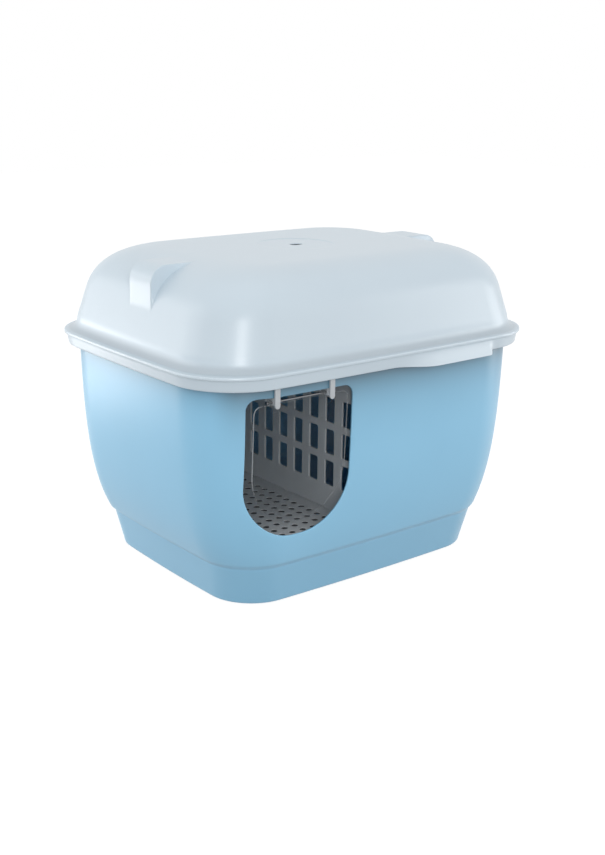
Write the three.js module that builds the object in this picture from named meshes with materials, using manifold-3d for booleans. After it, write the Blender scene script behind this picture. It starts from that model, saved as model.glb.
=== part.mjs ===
// Cat litter box with a hood: a stepped tub with an entry door in its front wall, a clear flap that
// swings on two hangers, a perforated walkway with a slotted partition inside, and a hood that lifts off.
//
// Millimetres, +Z up. The origin is the centre of the tub's footprint on the floor. The door faces -Y.

import * as THREE from 'three';
import { mergeVertices } from 'three/addons/utils/BufferGeometryUtils.js';
import Module from 'manifold-3d';

const wasm = await Module();
wasm.setup();

// ---- Overall ------------------------------------------------------------------------------------

const OVERALL_WIDTH = 580;
const OVERALL_DEPTH = 440;
const OVERALL_HEIGHT = 440;
const SIDE_BOW = 5; // how far the middle of each side stands out past its ends

const FIT = 0.4; // clearance where one piece seats on or beside another
const RUNNING = 0.3; // clearance round the flap's hinge rod
const OVERCUT = 20; // how far a cutting solid runs past what it cuts

// ---- Tub ----------------------------------------------------------------------------------------

const TUB_WALL = 3;
const TUB_FLOOR = 3;
const HOOD_RISE = 119.3; // from the tub's rim to the top of the hood
const RIM_HEIGHT = OVERALL_HEIGHT - HOOD_RISE;
const SIDE_OVERHANG = 15; // from the top of the tub's side walls to the hood's widest outline
const FRONT_OVERHANG = 10.5;
const WALL_TOP_HALF_WIDTH = OVERALL_WIDTH / 2 - SIDE_OVERHANG;
const WALL_TOP_HALF_DEPTH = OVERALL_DEPTH / 2 - FRONT_OVERHANG;
const BASE_SIDE_TUCK = 54; // how far the base stands in from the top of the walls
const BASE_FRONT_TUCK = 35;
const BASE_HALF_WIDTH = WALL_TOP_HALF_WIDTH - BASE_SIDE_TUCK;
const BASE_HALF_DEPTH = WALL_TOP_HALF_DEPTH - BASE_FRONT_TUCK;
const BASE_CORNER = 63.5;
const BASE_EDGE_ROUND = 6;
const BASE_FLARE = 10.5; // how far the base leans out between the floor and the step
const BASE_CORNER_GROWTH = 1.5;
const STEP_HEIGHT = 55;
const STEP_RISE = 5;
const WALL_TOP_CORNER = 92;
const WALL_WIDTH_FLARE = 35.5; // how far the side walls spread between the step and the rim
const WALL_DEPTH_FLARE = 19;
const WALL_CORNER_GROWTH = 16;
const WALL_CURVE = 72; // height over which most of that spread happens
const BEAD_HEIGHT = 6;
const BEAD_OUT = 3.5;

// ---- Hood ---------------------------------------------------------------------------------------

const HOOD_WALL = 2.5;
const HOOD_CORNER = 86;
const HOOD_CORNER_SHRINK = 0.31; // corner radius lost for each millimetre that the hood draws in
const HOOD_DEPTH_SHARE = 0.81; // the front and back draw in less than the sides
const SKIRT_DROP = 17.1; // from the underside of the flange to the skirt's lower edge
const SKIRT_INSET = 5;
const FLANGE_THICKNESS = 2.5;
const FLANGE_EDGE = 4;
const FLANGE_ROUND = 1.5;
const WALL_FOOT_INSET = 16.2; // where the hood's wall leaves the flange's fillet
const WALL_FOOT_RISE = 17;
const SHOULDER_INSET = 31.6;
const SHOULDER_DROP = 45.7; // from the top of the hood to where its wall begins to turn over
const SHOULDER_HEIGHT = OVERALL_HEIGHT - SHOULDER_DROP;
const CROWN_INSET = 118;
const CROWN_CORE = 34; // half the depth of the crown's innermost section
const CROWN_DIP = 0.6; // the crown's edge lies this much below its middle
const LIP_DROP = 5.4; // a finger lip hangs this much below the skirt and flares out
const LIP_FLARE = 4;
const LIP_START = -8; // along the front, from its middle; the lip at the back is this one turned half round
const LIP_START_RUN = 80;
const LIP_FROM_SIDE = 106;
const LIP_END = OVERALL_WIDTH / 2 - LIP_FROM_SIDE;
const LIP_END_RUN = 12;
const GRIP_HALF_LENGTH = 27.5;
const GRIP_STAGGER = 14; // the left grip sits this far forward of the middle, the right one this far back
const GRIP_INSET = 28; // from the hood's widest outline to a grip's outer face
const GRIP_OUT = OVERALL_WIDTH / 2 - GRIP_INSET;
const GRIP_CORNER = 24;
const GRIP_HEIGHT = 60;
const GRIP_FOOT = OVERALL_HEIGHT - GRIP_HEIGHT;
const GRIP_WIDTH = 76;
const GRIP_INNER = GRIP_OUT - GRIP_WIDTH;
const GRIP_TOP_DIP = 1.5;
const GRIP_EDGE = 2.5;
const DISH_RADIUS = 54;
const DISH_DEPTH = 0.8;
const VENT_LENGTH = 20;
const VENT_WIDTH = 13;

// ---- Door and flap ------------------------------------------------------------------------------

const DOOR_WIDTH = 160;
const DOOR_FROM_SIDE = 49.5;
const DOOR_CENTRE = DOOR_FROM_SIDE + DOOR_WIDTH / 2 - WALL_TOP_HALF_WIDTH;
const DECK_HEIGHT = 100;
const SILL_ABOVE_DECK = 1;
const DOOR_SILL = DECK_HEIGHT + SILL_ABOVE_DECK;
const DOOR_BELOW_RIM = 29.7;
const DOOR_TOP = RIM_HEIGHT - DOOR_BELOW_RIM;
const DOOR_BOTTOM_CORNER = 74;
const DOOR_TOP_CORNER = 14;
const FLAP_SIDE_GAP = 4.7;
const FLAP_TOP_GAP = 8;
const FLAP_BOTTOM_GAP = 18;
const FLAP_THICKNESS = 2.2;
const FLAP_SET_BACK = 3.5; // from the wall's outer face to the middle of the flap's thickness
const FLAP_TOP_CORNER = 10;
const HANGER_SPACING = 85;
const HANGER_WIDTH = 7.6;
const HANGER_THICKNESS = 2.4;
const HANGER_OVER_DOOR = 13.5; // how far the leg in front of the wall hangs past the door's top edge
const HANGER_TIP = DOOR_TOP - HANGER_OVER_DOOR;
const HANGER_REACH = 23.5; // from the front leg to the back of the rear leg
const HANGER_ARM_WIDTH = 5;
const ROD_RADIUS = 1.5;
const ROD_BELOW_DOOR_TOP = 6.5;
const ROD_OVERHANG = 2.5;
const ROD_HEAD = 1;
const LUG_WIDTH = 4;
const LUG_WALL = 1.8;
const NOTCH_GAP = 1;
const NOTCH_BELOW_ROD = 14;

// ---- Walkway ------------------------------------------------------------------------------------

const DECK_THICKNESS = 3;
const DECK_GAP = 1.6; // between the deck and the tub's walls
const BACK_BAY = 133.5; // from the deck's back edge to the top of the tub's back wall
const DECK_BACK = WALL_TOP_HALF_DEPTH - BACK_BAY;
const PARTITION_BESIDE_DOOR = 10.5;
const PARTITION_FACE = DOOR_CENTRE + DOOR_WIDTH / 2 + PARTITION_BESIDE_DOOR;
const PARTITION_THICKNESS = 3;
const DECK_PAST_PARTITION = 2;
const PARTITION_RIGHT = PARTITION_FACE + PARTITION_THICKNESS;
const DECK_RIGHT = PARTITION_RIGHT + DECK_PAST_PARTITION;
const PARTITION_BELOW_RIM = 28.7;
const PARTITION_TOP = RIM_HEIGHT - PARTITION_BELOW_RIM;
const PARTITION_CORNER = 22;
const PARTITION_BACK_MARGIN = 3;
const PARTITION_FRONT_LEAN = 10.5;
const PARTITION_FRONT_GAP = 0.4;
const SLOT_PITCH = 33.5;
const SLOT_WIDTH = 17;
const SLOT_HEIGHT = 36;
const SLOT_RISE = 44.3;
const SLOT_FIRST_HEIGHT = 35; // from the deck to the lowest row
const SLOT_CORNER = 2.5;
const SLOT_BACK_MARGIN = 14;
const SLOT_FRONT_MARGIN = 0.2; // at the deck; the front edge leans away from the slots above it
const SLOT_TOP_MARGIN = 20;
const HOLE_PITCH = 17;
const HOLE_RADIUS = 3.8;
const HOLE_SIDES = 6;
const HOLE_EDGE_GAP = 2.4; // from the deck's outer edge to the band that holds no hole's centre
const HOLE_SIDE_BAND = 22.5; // from the partition to the first row of holes
const HOLE_BACK_BAND = 7;
const SKIRT_PANEL = 2.5;
const LEG_INSET = 37; // from the deck's outer edge to the panel that stands on the tub's floor
const TAB_LENGTH = 20;
const TAB_PITCH = 90;
const TAB_BACK_MARGIN = 46;

// ---- Mesh detail --------------------------------------------------------------------------------

const CORNER_STEPS = 6;
const TUB_SIDE_STEPS = 5;
const SHOULDER_STEPS = 5;
const LIP_STEPS = 3;
const FILLET_STEPS = 3;
const ROUND_SEGMENTS = 6;

// ---- Solids -------------------------------------------------------------------------------------

function toSolid(geometry) {
  const bare = geometry.clone();
  bare.deleteAttribute('normal');
  bare.deleteAttribute('uv');
  const merged = mergeVertices(bare, 1e-4);
  return new wasm.Manifold(new wasm.Mesh({
    numProp: 3,
    vertProperties: new Float32Array(merged.attributes.position.array),
    triVerts: new Uint32Array(merged.index.array),
  }));
}

function toGeometry(solid) {
  const { vertProperties, triVerts } = solid.getMesh();
  const geometry = new THREE.BufferGeometry();
  geometry.setAttribute('position', new THREE.BufferAttribute(vertProperties, 3));
  geometry.setIndex(new THREE.BufferAttribute(triVerts, 1));
  return geometry;
}

function box(low, high) {
  const size = high.map((value, i) => value - low[i]);
  const middle = high.map((value, i) => (value + low[i]) / 2);
  return toSolid(new THREE.BoxGeometry(...size).translate(...middle));
}

// Extrudes a shape drawn in X and Z (seen from the front) from y = front to y = back.
function extrudeAlongY(shape, front, back, extra = {}) {
  const geometry = new THREE.ExtrudeGeometry(shape, {
    depth: back - front, bevelEnabled: false, curveSegments: ROUND_SEGMENTS, ...extra,
  });
  return toSolid(geometry.rotateX(Math.PI / 2).translate(0, back, 0));
}

// Extrudes a shape drawn in Y and Z (seen from the right) from x = left to x = right.
function extrudeAlongX(shape, left, right) {
  const geometry = new THREE.ExtrudeGeometry(shape, {
    depth: right - left, bevelEnabled: false, curveSegments: ROUND_SEGMENTS,
  });
  return toSolid(geometry.rotateX(Math.PI / 2).rotateZ(Math.PI / 2).translate(left, 0, 0));
}

function cylinderAlongX(radius, left, right, y, z, sides) {
  const geometry = new THREE.CylinderGeometry(radius, radius, right - left, sides);
  return toSolid(geometry.rotateZ(Math.PI / 2).translate((left + right) / 2, y, z));
}

function rectangle(x0, y0, x1, y1, radii = [0, 0, 0, 0]) {
  const [lowerLeft, lowerRight, upperRight, upperLeft] = radii;
  const shape = new THREE.Shape();
  shape.moveTo(x0 + lowerLeft, y0);
  shape.lineTo(x1 - lowerRight, y0);
  if (lowerRight) shape.absarc(x1 - lowerRight, y0 + lowerRight, lowerRight, -Math.PI / 2, 0);
  shape.lineTo(x1, y1 - upperRight);
  if (upperRight) shape.absarc(x1 - upperRight, y1 - upperRight, upperRight, 0, Math.PI / 2);
  shape.lineTo(x0 + upperLeft, y1);
  if (upperLeft) shape.absarc(x0 + upperLeft, y1 - upperLeft, upperLeft, Math.PI / 2, Math.PI);
  shape.lineTo(x0, y0 + lowerLeft);
  if (lowerLeft) shape.absarc(x0 + lowerLeft, y0 + lowerLeft, lowerLeft, Math.PI, Math.PI * 1.5);
  return shape;
}

// ---- Rounded sections ---------------------------------------------------------------------------

const evenStops = (count) => Array.from({ length: count - 1 }, (_, i) => ((i + 1) / count) * 2 - 1);

// One ring of a rounded rectangle with bowed sides. sides gives the stops along the right, back, left
// and front sides, each from -1 to 1 in the sense of travel; shape(x, y) may move each point.
function ring({ halfWidth, halfDepth, corner, z }, sides, move = null) {
  const flatX = halfWidth - corner;
  const flatY = halfDepth - corner;
  const turn = [[1, 1], [-1, 1], [-1, -1], [1, -1]];
  const flat = [
    (t) => [halfWidth, t * flatY], (t) => [-t * flatX, halfDepth],
    (t) => [-halfWidth, -t * flatY], (t) => [t * flatX, -halfDepth],
  ];
  const outline = [];
  turn.forEach(([signX, signY], quarter) => {
    sides[quarter].forEach((t) => outline.push(flat[quarter](t)));
    for (let i = 0; i <= CORNER_STEPS; i += 1) {
      const angle = (quarter + i / CORNER_STEPS) * (Math.PI / 2);
      outline.push([signX * flatX + corner * Math.cos(angle), signY * flatY + corner * Math.sin(angle)]);
    }
  });
  return outline.map(([x, y]) => {
    const point = new THREE.Vector3(
      x - Math.sign(x) * SIDE_BOW * Math.abs(x / halfWidth) * (y / halfDepth) ** 2,
      y - Math.sign(y) * SIDE_BOW * Math.abs(y / halfDepth) * (x / halfWidth) ** 2,
      z,
    );
    return move ? move(point) : point;
  });
}

// Joins rings from the lowest to the highest into one closed solid.
function loft(rings) {
  const count = rings[0].length;
  const positions = rings.flat();
  const middle = (points) => points.reduce((sum, p) => sum.add(p), new THREE.Vector3())
    .divideScalar(points.length);
  const index = [];
  for (let level = 0; level + 1 < rings.length; level += 1) {
    for (let i = 0; i < count; i += 1) {
      const a = level * count + i;
      const b = level * count + ((i + 1) % count);
      index.push(a, b, b + count, a, b + count, a + count);
    }
  }
  const lowest = positions.push(middle(rings[0])) - 1;
  const highest = positions.push(middle(rings.at(-1))) - 1;
  const top = (rings.length - 1) * count;
  for (let i = 0; i < count; i += 1) {
    const next = (i + 1) % count;
    index.push(lowest, next, i, highest, top + i, top + next);
  }
  const geometry = new THREE.BufferGeometry().setFromPoints(positions);
  geometry.setIndex(index);
  return toSolid(geometry);
}

// ---- Tub ----------------------------------------------------------------------------------------

const TUB_SIDES = Array(4).fill(evenStops(TUB_SIDE_STEPS));
const STEP_TOP = STEP_HEIGHT + STEP_RISE;

// The tub's outer section at a height: the base, the step, and the wall that straightens as it rises.
function tubSection(z) {
  const lean = THREE.MathUtils.clamp((z - BASE_EDGE_ROUND) / (STEP_HEIGHT - BASE_EDGE_ROUND), 0, 1);
  const base = {
    halfWidth: BASE_HALF_WIDTH + BASE_FLARE * lean,
    halfDepth: BASE_HALF_DEPTH + BASE_FLARE * lean,
    corner: BASE_CORNER + BASE_CORNER_GROWTH * lean,
  };
  const left = Math.exp(-(Math.max(z, STEP_TOP) - STEP_TOP) / WALL_CURVE);
  const wall = {
    halfWidth: WALL_TOP_HALF_WIDTH - WALL_WIDTH_FLARE * left,
    halfDepth: WALL_TOP_HALF_DEPTH - WALL_DEPTH_FLARE * left,
    corner: WALL_TOP_CORNER - WALL_CORNER_GROWTH * left,
  };
  const part = THREE.MathUtils.clamp((z - STEP_HEIGHT) / STEP_RISE, 0, 1);
  const mix = (key) => THREE.MathUtils.lerp(base[key], wall[key], part);
  return { halfWidth: mix('halfWidth'), halfDepth: mix('halfDepth'), corner: mix('corner'), z };
}

function inset(section, by) {
  return {
    halfWidth: section.halfWidth - by,
    halfDepth: section.halfDepth - by,
    corner: section.corner - by,
    z: section.z,
  };
}

// The outer face of the tub's front wall at a place across it and a height.
function frontWallY(x, z) {
  const { halfWidth, halfDepth } = tubSection(z);
  return -(halfDepth - SIDE_BOW * (x / halfWidth) ** 2);
}

const wallHeights = (count) => Array.from(
  { length: count },
  (_, i) => STEP_TOP + (RIM_HEIGHT - BEAD_HEIGHT - STEP_TOP) * ((i + 1) / count) ** 1.4,
);

function doorShape() {
  const half = DOOR_WIDTH / 2;
  return rectangle(
    DOOR_CENTRE - half, DOOR_SILL, DOOR_CENTRE + half, DOOR_TOP,
    [DOOR_BOTTOM_CORNER, DOOR_BOTTOM_CORNER, DOOR_TOP_CORNER, DOOR_TOP_CORNER],
  );
}

const hangerPlaces = [-1, 1].map((side) => DOOR_CENTRE + side * (HANGER_SPACING / 2));

function tubShell() {
  const tub = (section) => ring(section, TUB_SIDES);
  const edge = [0, 0.3, 1].map((t) => {
    const lift = BASE_EDGE_ROUND * t;
    const pull = BASE_EDGE_ROUND - Math.sqrt(BASE_EDGE_ROUND ** 2 - (BASE_EDGE_ROUND - lift) ** 2);
    return { ...inset(tubSection(BASE_EDGE_ROUND), pull), z: lift };
  });
  const heights = [STEP_HEIGHT, STEP_TOP, ...wallHeights(8)];
  const rimSection = inset(tubSection(RIM_HEIGHT), -BEAD_OUT);
  const outer = loft([
    ...edge.map(tub),
    ...heights.map((z) => tub(tubSection(z))),
    tub({ ...rimSection, z: RIM_HEIGHT - BEAD_HEIGHT + 1 }),
    tub({ ...rimSection, z: RIM_HEIGHT }),
  ]);
  const inner = loft([
    tub({ ...inset(tubSection(BASE_EDGE_ROUND), TUB_WALL), z: TUB_FLOOR }),
    ...heights.map((z) => tub({ ...inset(tubSection(z), TUB_WALL), z: z + (z < STEP_TOP ? 2 : 1) })),
    tub({ ...inset(tubSection(RIM_HEIGHT), TUB_WALL), z: RIM_HEIGHT + OVERCUT }),
  ]);
  const door = extrudeAlongY(
    doorShape(), -OVERALL_DEPTH / 2 - OVERCUT, frontWallY(0, DOOR_SILL) + WALL_TOP_CORNER * 0.6,
  );
  const notches = hangerPlaces.map((x) => hangerNotch(x));
  return notches.reduce((solid, notch) => solid.subtract(notch), outer.subtract(inner).subtract(door));
}

// Room for a hanger's saddle over the rim, and for its front leg past the bead.
function hangerNotch(x) {
  const half = HANGER_WIDTH / 2 + FIT;
  const front = -OVERALL_DEPTH / 2;
  const overRim = box(
    [x - half, front, RIM_HEIGHT - HANGER_THICKNESS - 2 * FIT],
    [x + half, frontWallY(x, RIM_HEIGHT) + OVERCUT, RIM_HEIGHT + OVERCUT],
  );
  const throughBead = box(
    [x - half, front, RIM_HEIGHT - BEAD_HEIGHT - 1],
    [x + half, frontWallY(x, RIM_HEIGHT), RIM_HEIGHT + OVERCUT],
  );
  return overRim.add(throughBead);
}

// ---- Hood ---------------------------------------------------------------------------------------

const FLANGE_UNDERSIDE = RIM_HEIGHT + FIT;
const FLANGE_TOP = FLANGE_UNDERSIDE + FLANGE_THICKNESS;
const SKIRT_BOTTOM = FLANGE_UNDERSIDE - SKIRT_DROP;

const ramp = (t) => THREE.MathUtils.smoothstep(t, 0, 1);

// How much of a finger lip there is at a place on the skirt: one at the front right, one at the back left.
function lipShare(point) {
  const along = point.y < 0 ? point.x : -point.x;
  return ramp((along - LIP_START) / LIP_START_RUN) * ramp((LIP_END - along) / LIP_END_RUN);
}

// Stops along a side of the hood, with extra ones where a lip begins and ends.
function hoodStops(half, ends) {
  const stops = new Set([-0.6, -0.3, 0, 0.3, 0.6]);
  ends.forEach(([from, to]) => {
    for (let i = 0; i <= LIP_STEPS; i += 1) {
      stops.add((from + ((to - from) * i) / LIP_STEPS) / half);
    }
  });
  return [...stops].filter((t) => Math.abs(t) < 0.98).sort((p, q) => p - q);
}

const HOOD_SIDES = (() => {
  const side = hoodStops(OVERALL_DEPTH / 2 - HOOD_CORNER, []);
  const lipped = hoodStops(OVERALL_WIDTH / 2 - HOOD_CORNER, [
    [LIP_START, LIP_START + LIP_START_RUN], [LIP_END - LIP_END_RUN, LIP_END],
  ]);
  return [side, lipped, side, lipped];
})();

// A ring of the hood. drawIn is its distance in from the widest outline; lip is the share of the
// finger lips' drop and flare that it takes. No lip reaches round a corner, so they flare in Y alone.
function hoodRing(drawIn, z, lip = 0) {
  const section = {
    halfWidth: OVERALL_WIDTH / 2 - drawIn,
    halfDepth: OVERALL_DEPTH / 2 - drawIn * HOOD_DEPTH_SHARE,
    corner: HOOD_CORNER - drawIn * HOOD_CORNER_SHRINK,
    z,
  };
  return ring(section, HOOD_SIDES, (point) => {
    const share = lip * lipShare(point);
    point.y += Math.sign(point.y) * LIP_FLARE * share;
    point.z -= LIP_DROP * share;
    return point;
  });
}

// The hood's shoulder, from the top of its leaning wall to the edge of its crown, grown inwards by a wall.
function shoulder(wall) {
  const curve = new THREE.CubicBezierCurve(
    new THREE.Vector2(SHOULDER_INSET + wall, SHOULDER_HEIGHT),
    new THREE.Vector2(SHOULDER_INSET + wall + 6, SHOULDER_HEIGHT + 26 - wall * 0.6),
    new THREE.Vector2(SHOULDER_INSET + 34 + wall * 0.3, OVERALL_HEIGHT - 3 - wall),
    new THREE.Vector2(CROWN_INSET, OVERALL_HEIGHT - CROWN_DIP - wall),
  );
  return curve.getPoints(SHOULDER_STEPS).map(({ x, y }) => hoodRing(x, y));
}

function crown(wall) {
  const middle = OVERALL_HEIGHT - wall;
  return [
    hoodRing(CROWN_INSET + DISH_RADIUS, middle - CROWN_DIP * 0.2),
    hoodRing((OVERALL_DEPTH / 2 - CROWN_CORE) / HOOD_DEPTH_SHARE, middle),
  ];
}

// A grip's section: a squared-off shoulder that stands out past the hood's rounded one.
function gripShape(side, wall) {
  const top = OVERALL_HEIGHT - GRIP_TOP_DIP - wall;
  const corner = GRIP_CORNER - wall;
  const outer = GRIP_OUT - wall;
  const shape = new THREE.Shape();
  shape.moveTo(side * GRIP_INNER, top);
  shape.lineTo(side * (outer - corner), top);
  if (side > 0) shape.absarc(outer - corner, top - corner, corner, Math.PI / 2, 0, true);
  else shape.absarc(corner - outer, top - corner, corner, Math.PI / 2, Math.PI, false);
  shape.lineTo(side * outer, GRIP_FOOT + wall);
  shape.lineTo(side * GRIP_INNER, GRIP_FOOT + wall);
  return shape;
}

function grip(side, wall) {
  const half = GRIP_HALF_LENGTH - wall - GRIP_EDGE;
  const centre = side * GRIP_STAGGER;
  return extrudeAlongY(gripShape(side, wall + GRIP_EDGE), centre - half, centre + half, {
    bevelEnabled: true, bevelSize: GRIP_EDGE, bevelThickness: GRIP_EDGE, bevelSegments: 2,
  });
}

function ventShape() {
  const half = VENT_LENGTH / 2;
  const round = VENT_WIDTH / 2;
  return rectangle(-half, -round, half, round, Array(4).fill(round - 0.01));
}

function hoodShell() {
  const fillet = Array.from({ length: FILLET_STEPS }, (_, i) => {
    const angle = ((i + 1) / FILLET_STEPS) * (Math.PI / 2);
    const across = FLANGE_ROUND + (WALL_FOOT_INSET - FLANGE_ROUND) * Math.sin(angle);
    return hoodRing(across, FLANGE_TOP + WALL_FOOT_RISE * (1 - Math.cos(angle)));
  });
  const outer = loft([
    hoodRing(SKIRT_INSET, SKIRT_BOTTOM, 1),
    hoodRing(SKIRT_INSET * 0.8, SKIRT_BOTTOM + SKIRT_DROP * 0.4, 0.45),
    hoodRing(SKIRT_INSET * 0.6, FLANGE_TOP - FLANGE_EDGE - 1),
    hoodRing(0, FLANGE_TOP - FLANGE_EDGE),
    hoodRing(0, FLANGE_TOP - FLANGE_ROUND),
    hoodRing(FLANGE_ROUND, FLANGE_TOP),
    ...fillet,
    ...shoulder(0),
    ...crown(0),
  ]);
  const under = SKIRT_INSET + HOOD_WALL;
  const inner = loft([
    hoodRing(under, SKIRT_BOTTOM - OVERCUT, 1.6),
    hoodRing(under, SKIRT_BOTTOM, 1),
    hoodRing(under - 1, SKIRT_BOTTOM + SKIRT_DROP * 0.4, 0.45),
    hoodRing(under - 1.5, FLANGE_UNDERSIDE),
    hoodRing(WALL_FOOT_INSET + HOOD_WALL + 0.5, FLANGE_UNDERSIDE),
    hoodRing(WALL_FOOT_INSET + HOOD_WALL, FLANGE_TOP + WALL_FOOT_RISE),
    ...shoulder(HOOD_WALL),
    ...crown(HOOD_WALL),
  ]);
  const dish = new THREE.CylinderGeometry(DISH_RADIUS, DISH_RADIUS, OVERCUT, 40).rotateX(Math.PI / 2);
  const vent = new THREE.ExtrudeGeometry(ventShape(), {
    depth: 2 * OVERCUT, bevelEnabled: false, curveSegments: ROUND_SEGMENTS,
  });
  const grips = [-1, 1];
  let solid = outer;
  grips.forEach((side) => { solid = solid.add(grip(side, 0)); });
  solid = solid.subtract(inner);
  grips.forEach((side) => { solid = solid.subtract(grip(side, HOOD_WALL)); });
  return solid
    .subtract(toSolid(dish.translate(0, 0, OVERALL_HEIGHT - DISH_DEPTH + OVERCUT / 2)))
    .subtract(toSolid(vent.translate(0, 0, OVERALL_HEIGHT - OVERCUT)));
}

// ---- Flap and hangers ---------------------------------------------------------------------------

const FLAP_WIDTH = DOOR_WIDTH - 2 * FLAP_SIDE_GAP;
const FLAP_TOP = DOOR_TOP - FLAP_TOP_GAP;
const FLAP_HEIGHT = FLAP_TOP - DOOR_SILL - FLAP_BOTTOM_GAP;
const FLAP_TOP_Y = frontWallY(DOOR_CENTRE, FLAP_TOP) + FLAP_SET_BACK;
const FLAP_LEAN = Math.atan(
  (frontWallY(DOOR_CENTRE, FLAP_TOP - FLAP_HEIGHT) - frontWallY(DOOR_CENTRE, FLAP_TOP)) / FLAP_HEIGHT,
);

// The flap is a rectangle over a half disc, and its rod lies straight above its centre of mass, so that
// it hangs level with the leaning wall.
const FLAP_MASS_DROP = (() => {
  const radius = FLAP_WIDTH / 2;
  const straight = FLAP_HEIGHT - radius;
  const rectangleArea = FLAP_WIDTH * straight;
  const discArea = (Math.PI * radius ** 2) / 2;
  const discDrop = straight + (4 * radius) / (3 * Math.PI);
  return ((rectangleArea * straight) / 2 + discArea * discDrop) / (rectangleArea + discArea);
})();
const ROD_Y = FLAP_TOP_Y + FLAP_MASS_DROP * Math.sin(FLAP_LEAN);
const ROD_Z = DOOR_TOP - ROD_BELOW_DOOR_TOP;
const LUG_RADIUS = ROD_RADIUS + RUNNING + LUG_WALL;
const NOTCH_HALF = HANGER_WIDTH / 2 + NOTCH_GAP;

// A strip with a round lower end, as seen from the front.
function strap(x, width, low, high) {
  const round = width / 2 - 0.01;
  return rectangle(x - width / 2, low, x + width / 2, high, [round, round, 0, 0]);
}

function flapHanger(x) {
  const legBack = frontWallY(x, RIM_HEIGHT) - FIT;
  const legFront = legBack - HANGER_THICKNESS;
  const back = legFront + HANGER_REACH;
  const half = HANGER_WIDTH / 2;
  const saddleTop = RIM_HEIGHT - FIT / 2;
  const rearTip = ROD_Z - LUG_RADIUS;
  const frontLeg = extrudeAlongY(strap(x, HANGER_WIDTH, HANGER_TIP, saddleTop), legFront, legBack);
  const rearLeg = extrudeAlongY(
    strap(x, HANGER_WIDTH, rearTip, saddleTop), back - HANGER_THICKNESS - 0.6, back,
  );
  const saddle = box([x - half, legFront, saddleTop - HANGER_THICKNESS], [x + half, back, saddleTop]);
  const armHalf = HANGER_ARM_WIDTH / 2;
  const arm = box(
    [x - armHalf, ROD_Y - LUG_RADIUS, rearTip],
    [x + armHalf, back - HANGER_THICKNESS / 2, DOOR_TOP - FIT],
  );
  const bore = cylinderAlongX(ROD_RADIUS + RUNNING, x - half - 1, x + half + 1, ROD_Y, ROD_Z, 16);
  return frontLeg.add(rearLeg).add(saddle).add(arm).subtract(bore);
}

// The two ends of the flap's rod: just past the outermost lugs.
const rodEnds = hangerPlaces.map((x, i) => x + (i ? 1 : -1) * (NOTCH_HALF + LUG_WIDTH + ROD_OVERHANG));

function hingeRod() {
  const [left, right] = rodEnds;
  const rod = cylinderAlongX(ROD_RADIUS, left, right, ROD_Y, ROD_Z, 12);
  const head = (from, to) => cylinderAlongX(ROD_RADIUS + ROD_HEAD, from, to, ROD_Y, ROD_Z, 12);
  return rod.add(head(left, left + ROD_HEAD)).add(head(right - ROD_HEAD, right));
}

// One ear of the flap, from its face back to a ring round the rod.
function lug(x) {
  const shape = new THREE.Shape();
  shape.moveTo(FLAP_TOP_Y, ROD_Z - LUG_RADIUS);
  shape.lineTo(ROD_Y, ROD_Z - LUG_RADIUS);
  shape.absarc(ROD_Y, ROD_Z, LUG_RADIUS, -Math.PI / 2, Math.PI / 2);
  shape.lineTo(FLAP_TOP_Y, ROD_Z + LUG_RADIUS);
  const bore = cylinderAlongX(
    ROD_RADIUS + RUNNING, x - LUG_WIDTH, x + LUG_WIDTH, ROD_Y, ROD_Z, 16,
  );
  return extrudeAlongX(shape, x - LUG_WIDTH / 2, x + LUG_WIDTH / 2).subtract(bore);
}

function entryFlap() {
  const half = FLAP_WIDTH / 2;
  const outline = rectangle(
    DOOR_CENTRE - half, -FLAP_HEIGHT, DOOR_CENTRE + half, 0,
    [half - 0.01, half - 0.01, FLAP_TOP_CORNER, FLAP_TOP_CORNER],
  );
  const sheet = new THREE.ExtrudeGeometry(outline, {
    depth: FLAP_THICKNESS, bevelEnabled: false, curveSegments: 14,
  });
  sheet.rotateX(Math.PI / 2).translate(0, FLAP_THICKNESS / 2, 0);
  const panel = toSolid(sheet.rotateX(FLAP_LEAN).translate(0, FLAP_TOP_Y, FLAP_TOP));
  const lugPlaces = hangerPlaces.flatMap((x) => [-1, 1].map(
    (side) => x + side * (NOTCH_HALF + LUG_WIDTH / 2),
  ));
  const eared = lugPlaces.reduce((solid, x) => solid.add(lug(x)), panel);
  return hangerPlaces.reduce((solid, x) => solid.subtract(box(
    [x - NOTCH_HALF, FLAP_TOP_Y - OVERCUT, ROD_Z - NOTCH_BELOW_ROD],
    [x + NOTCH_HALF, ROD_Y + OVERCUT, ROD_Z + OVERCUT],
  )), eared);
}

// ---- Walkway ------------------------------------------------------------------------------------

const DECK_UNDERSIDE = DECK_HEIGHT - DECK_THICKNESS;
const DECK_FRONT = frontWallY(PARTITION_FACE, DECK_UNDERSIDE) + TUB_WALL + DECK_GAP;

// A block that follows the tub's inner wall at a gap, between two heights.
function nested(low, high, gap) {
  const inside = inset(tubSection(low), TUB_WALL + gap);
  return loft([ring({ ...inside, z: low }, TUB_SIDES), ring({ ...inside, z: high }, TUB_SIDES)]);
}

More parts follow.
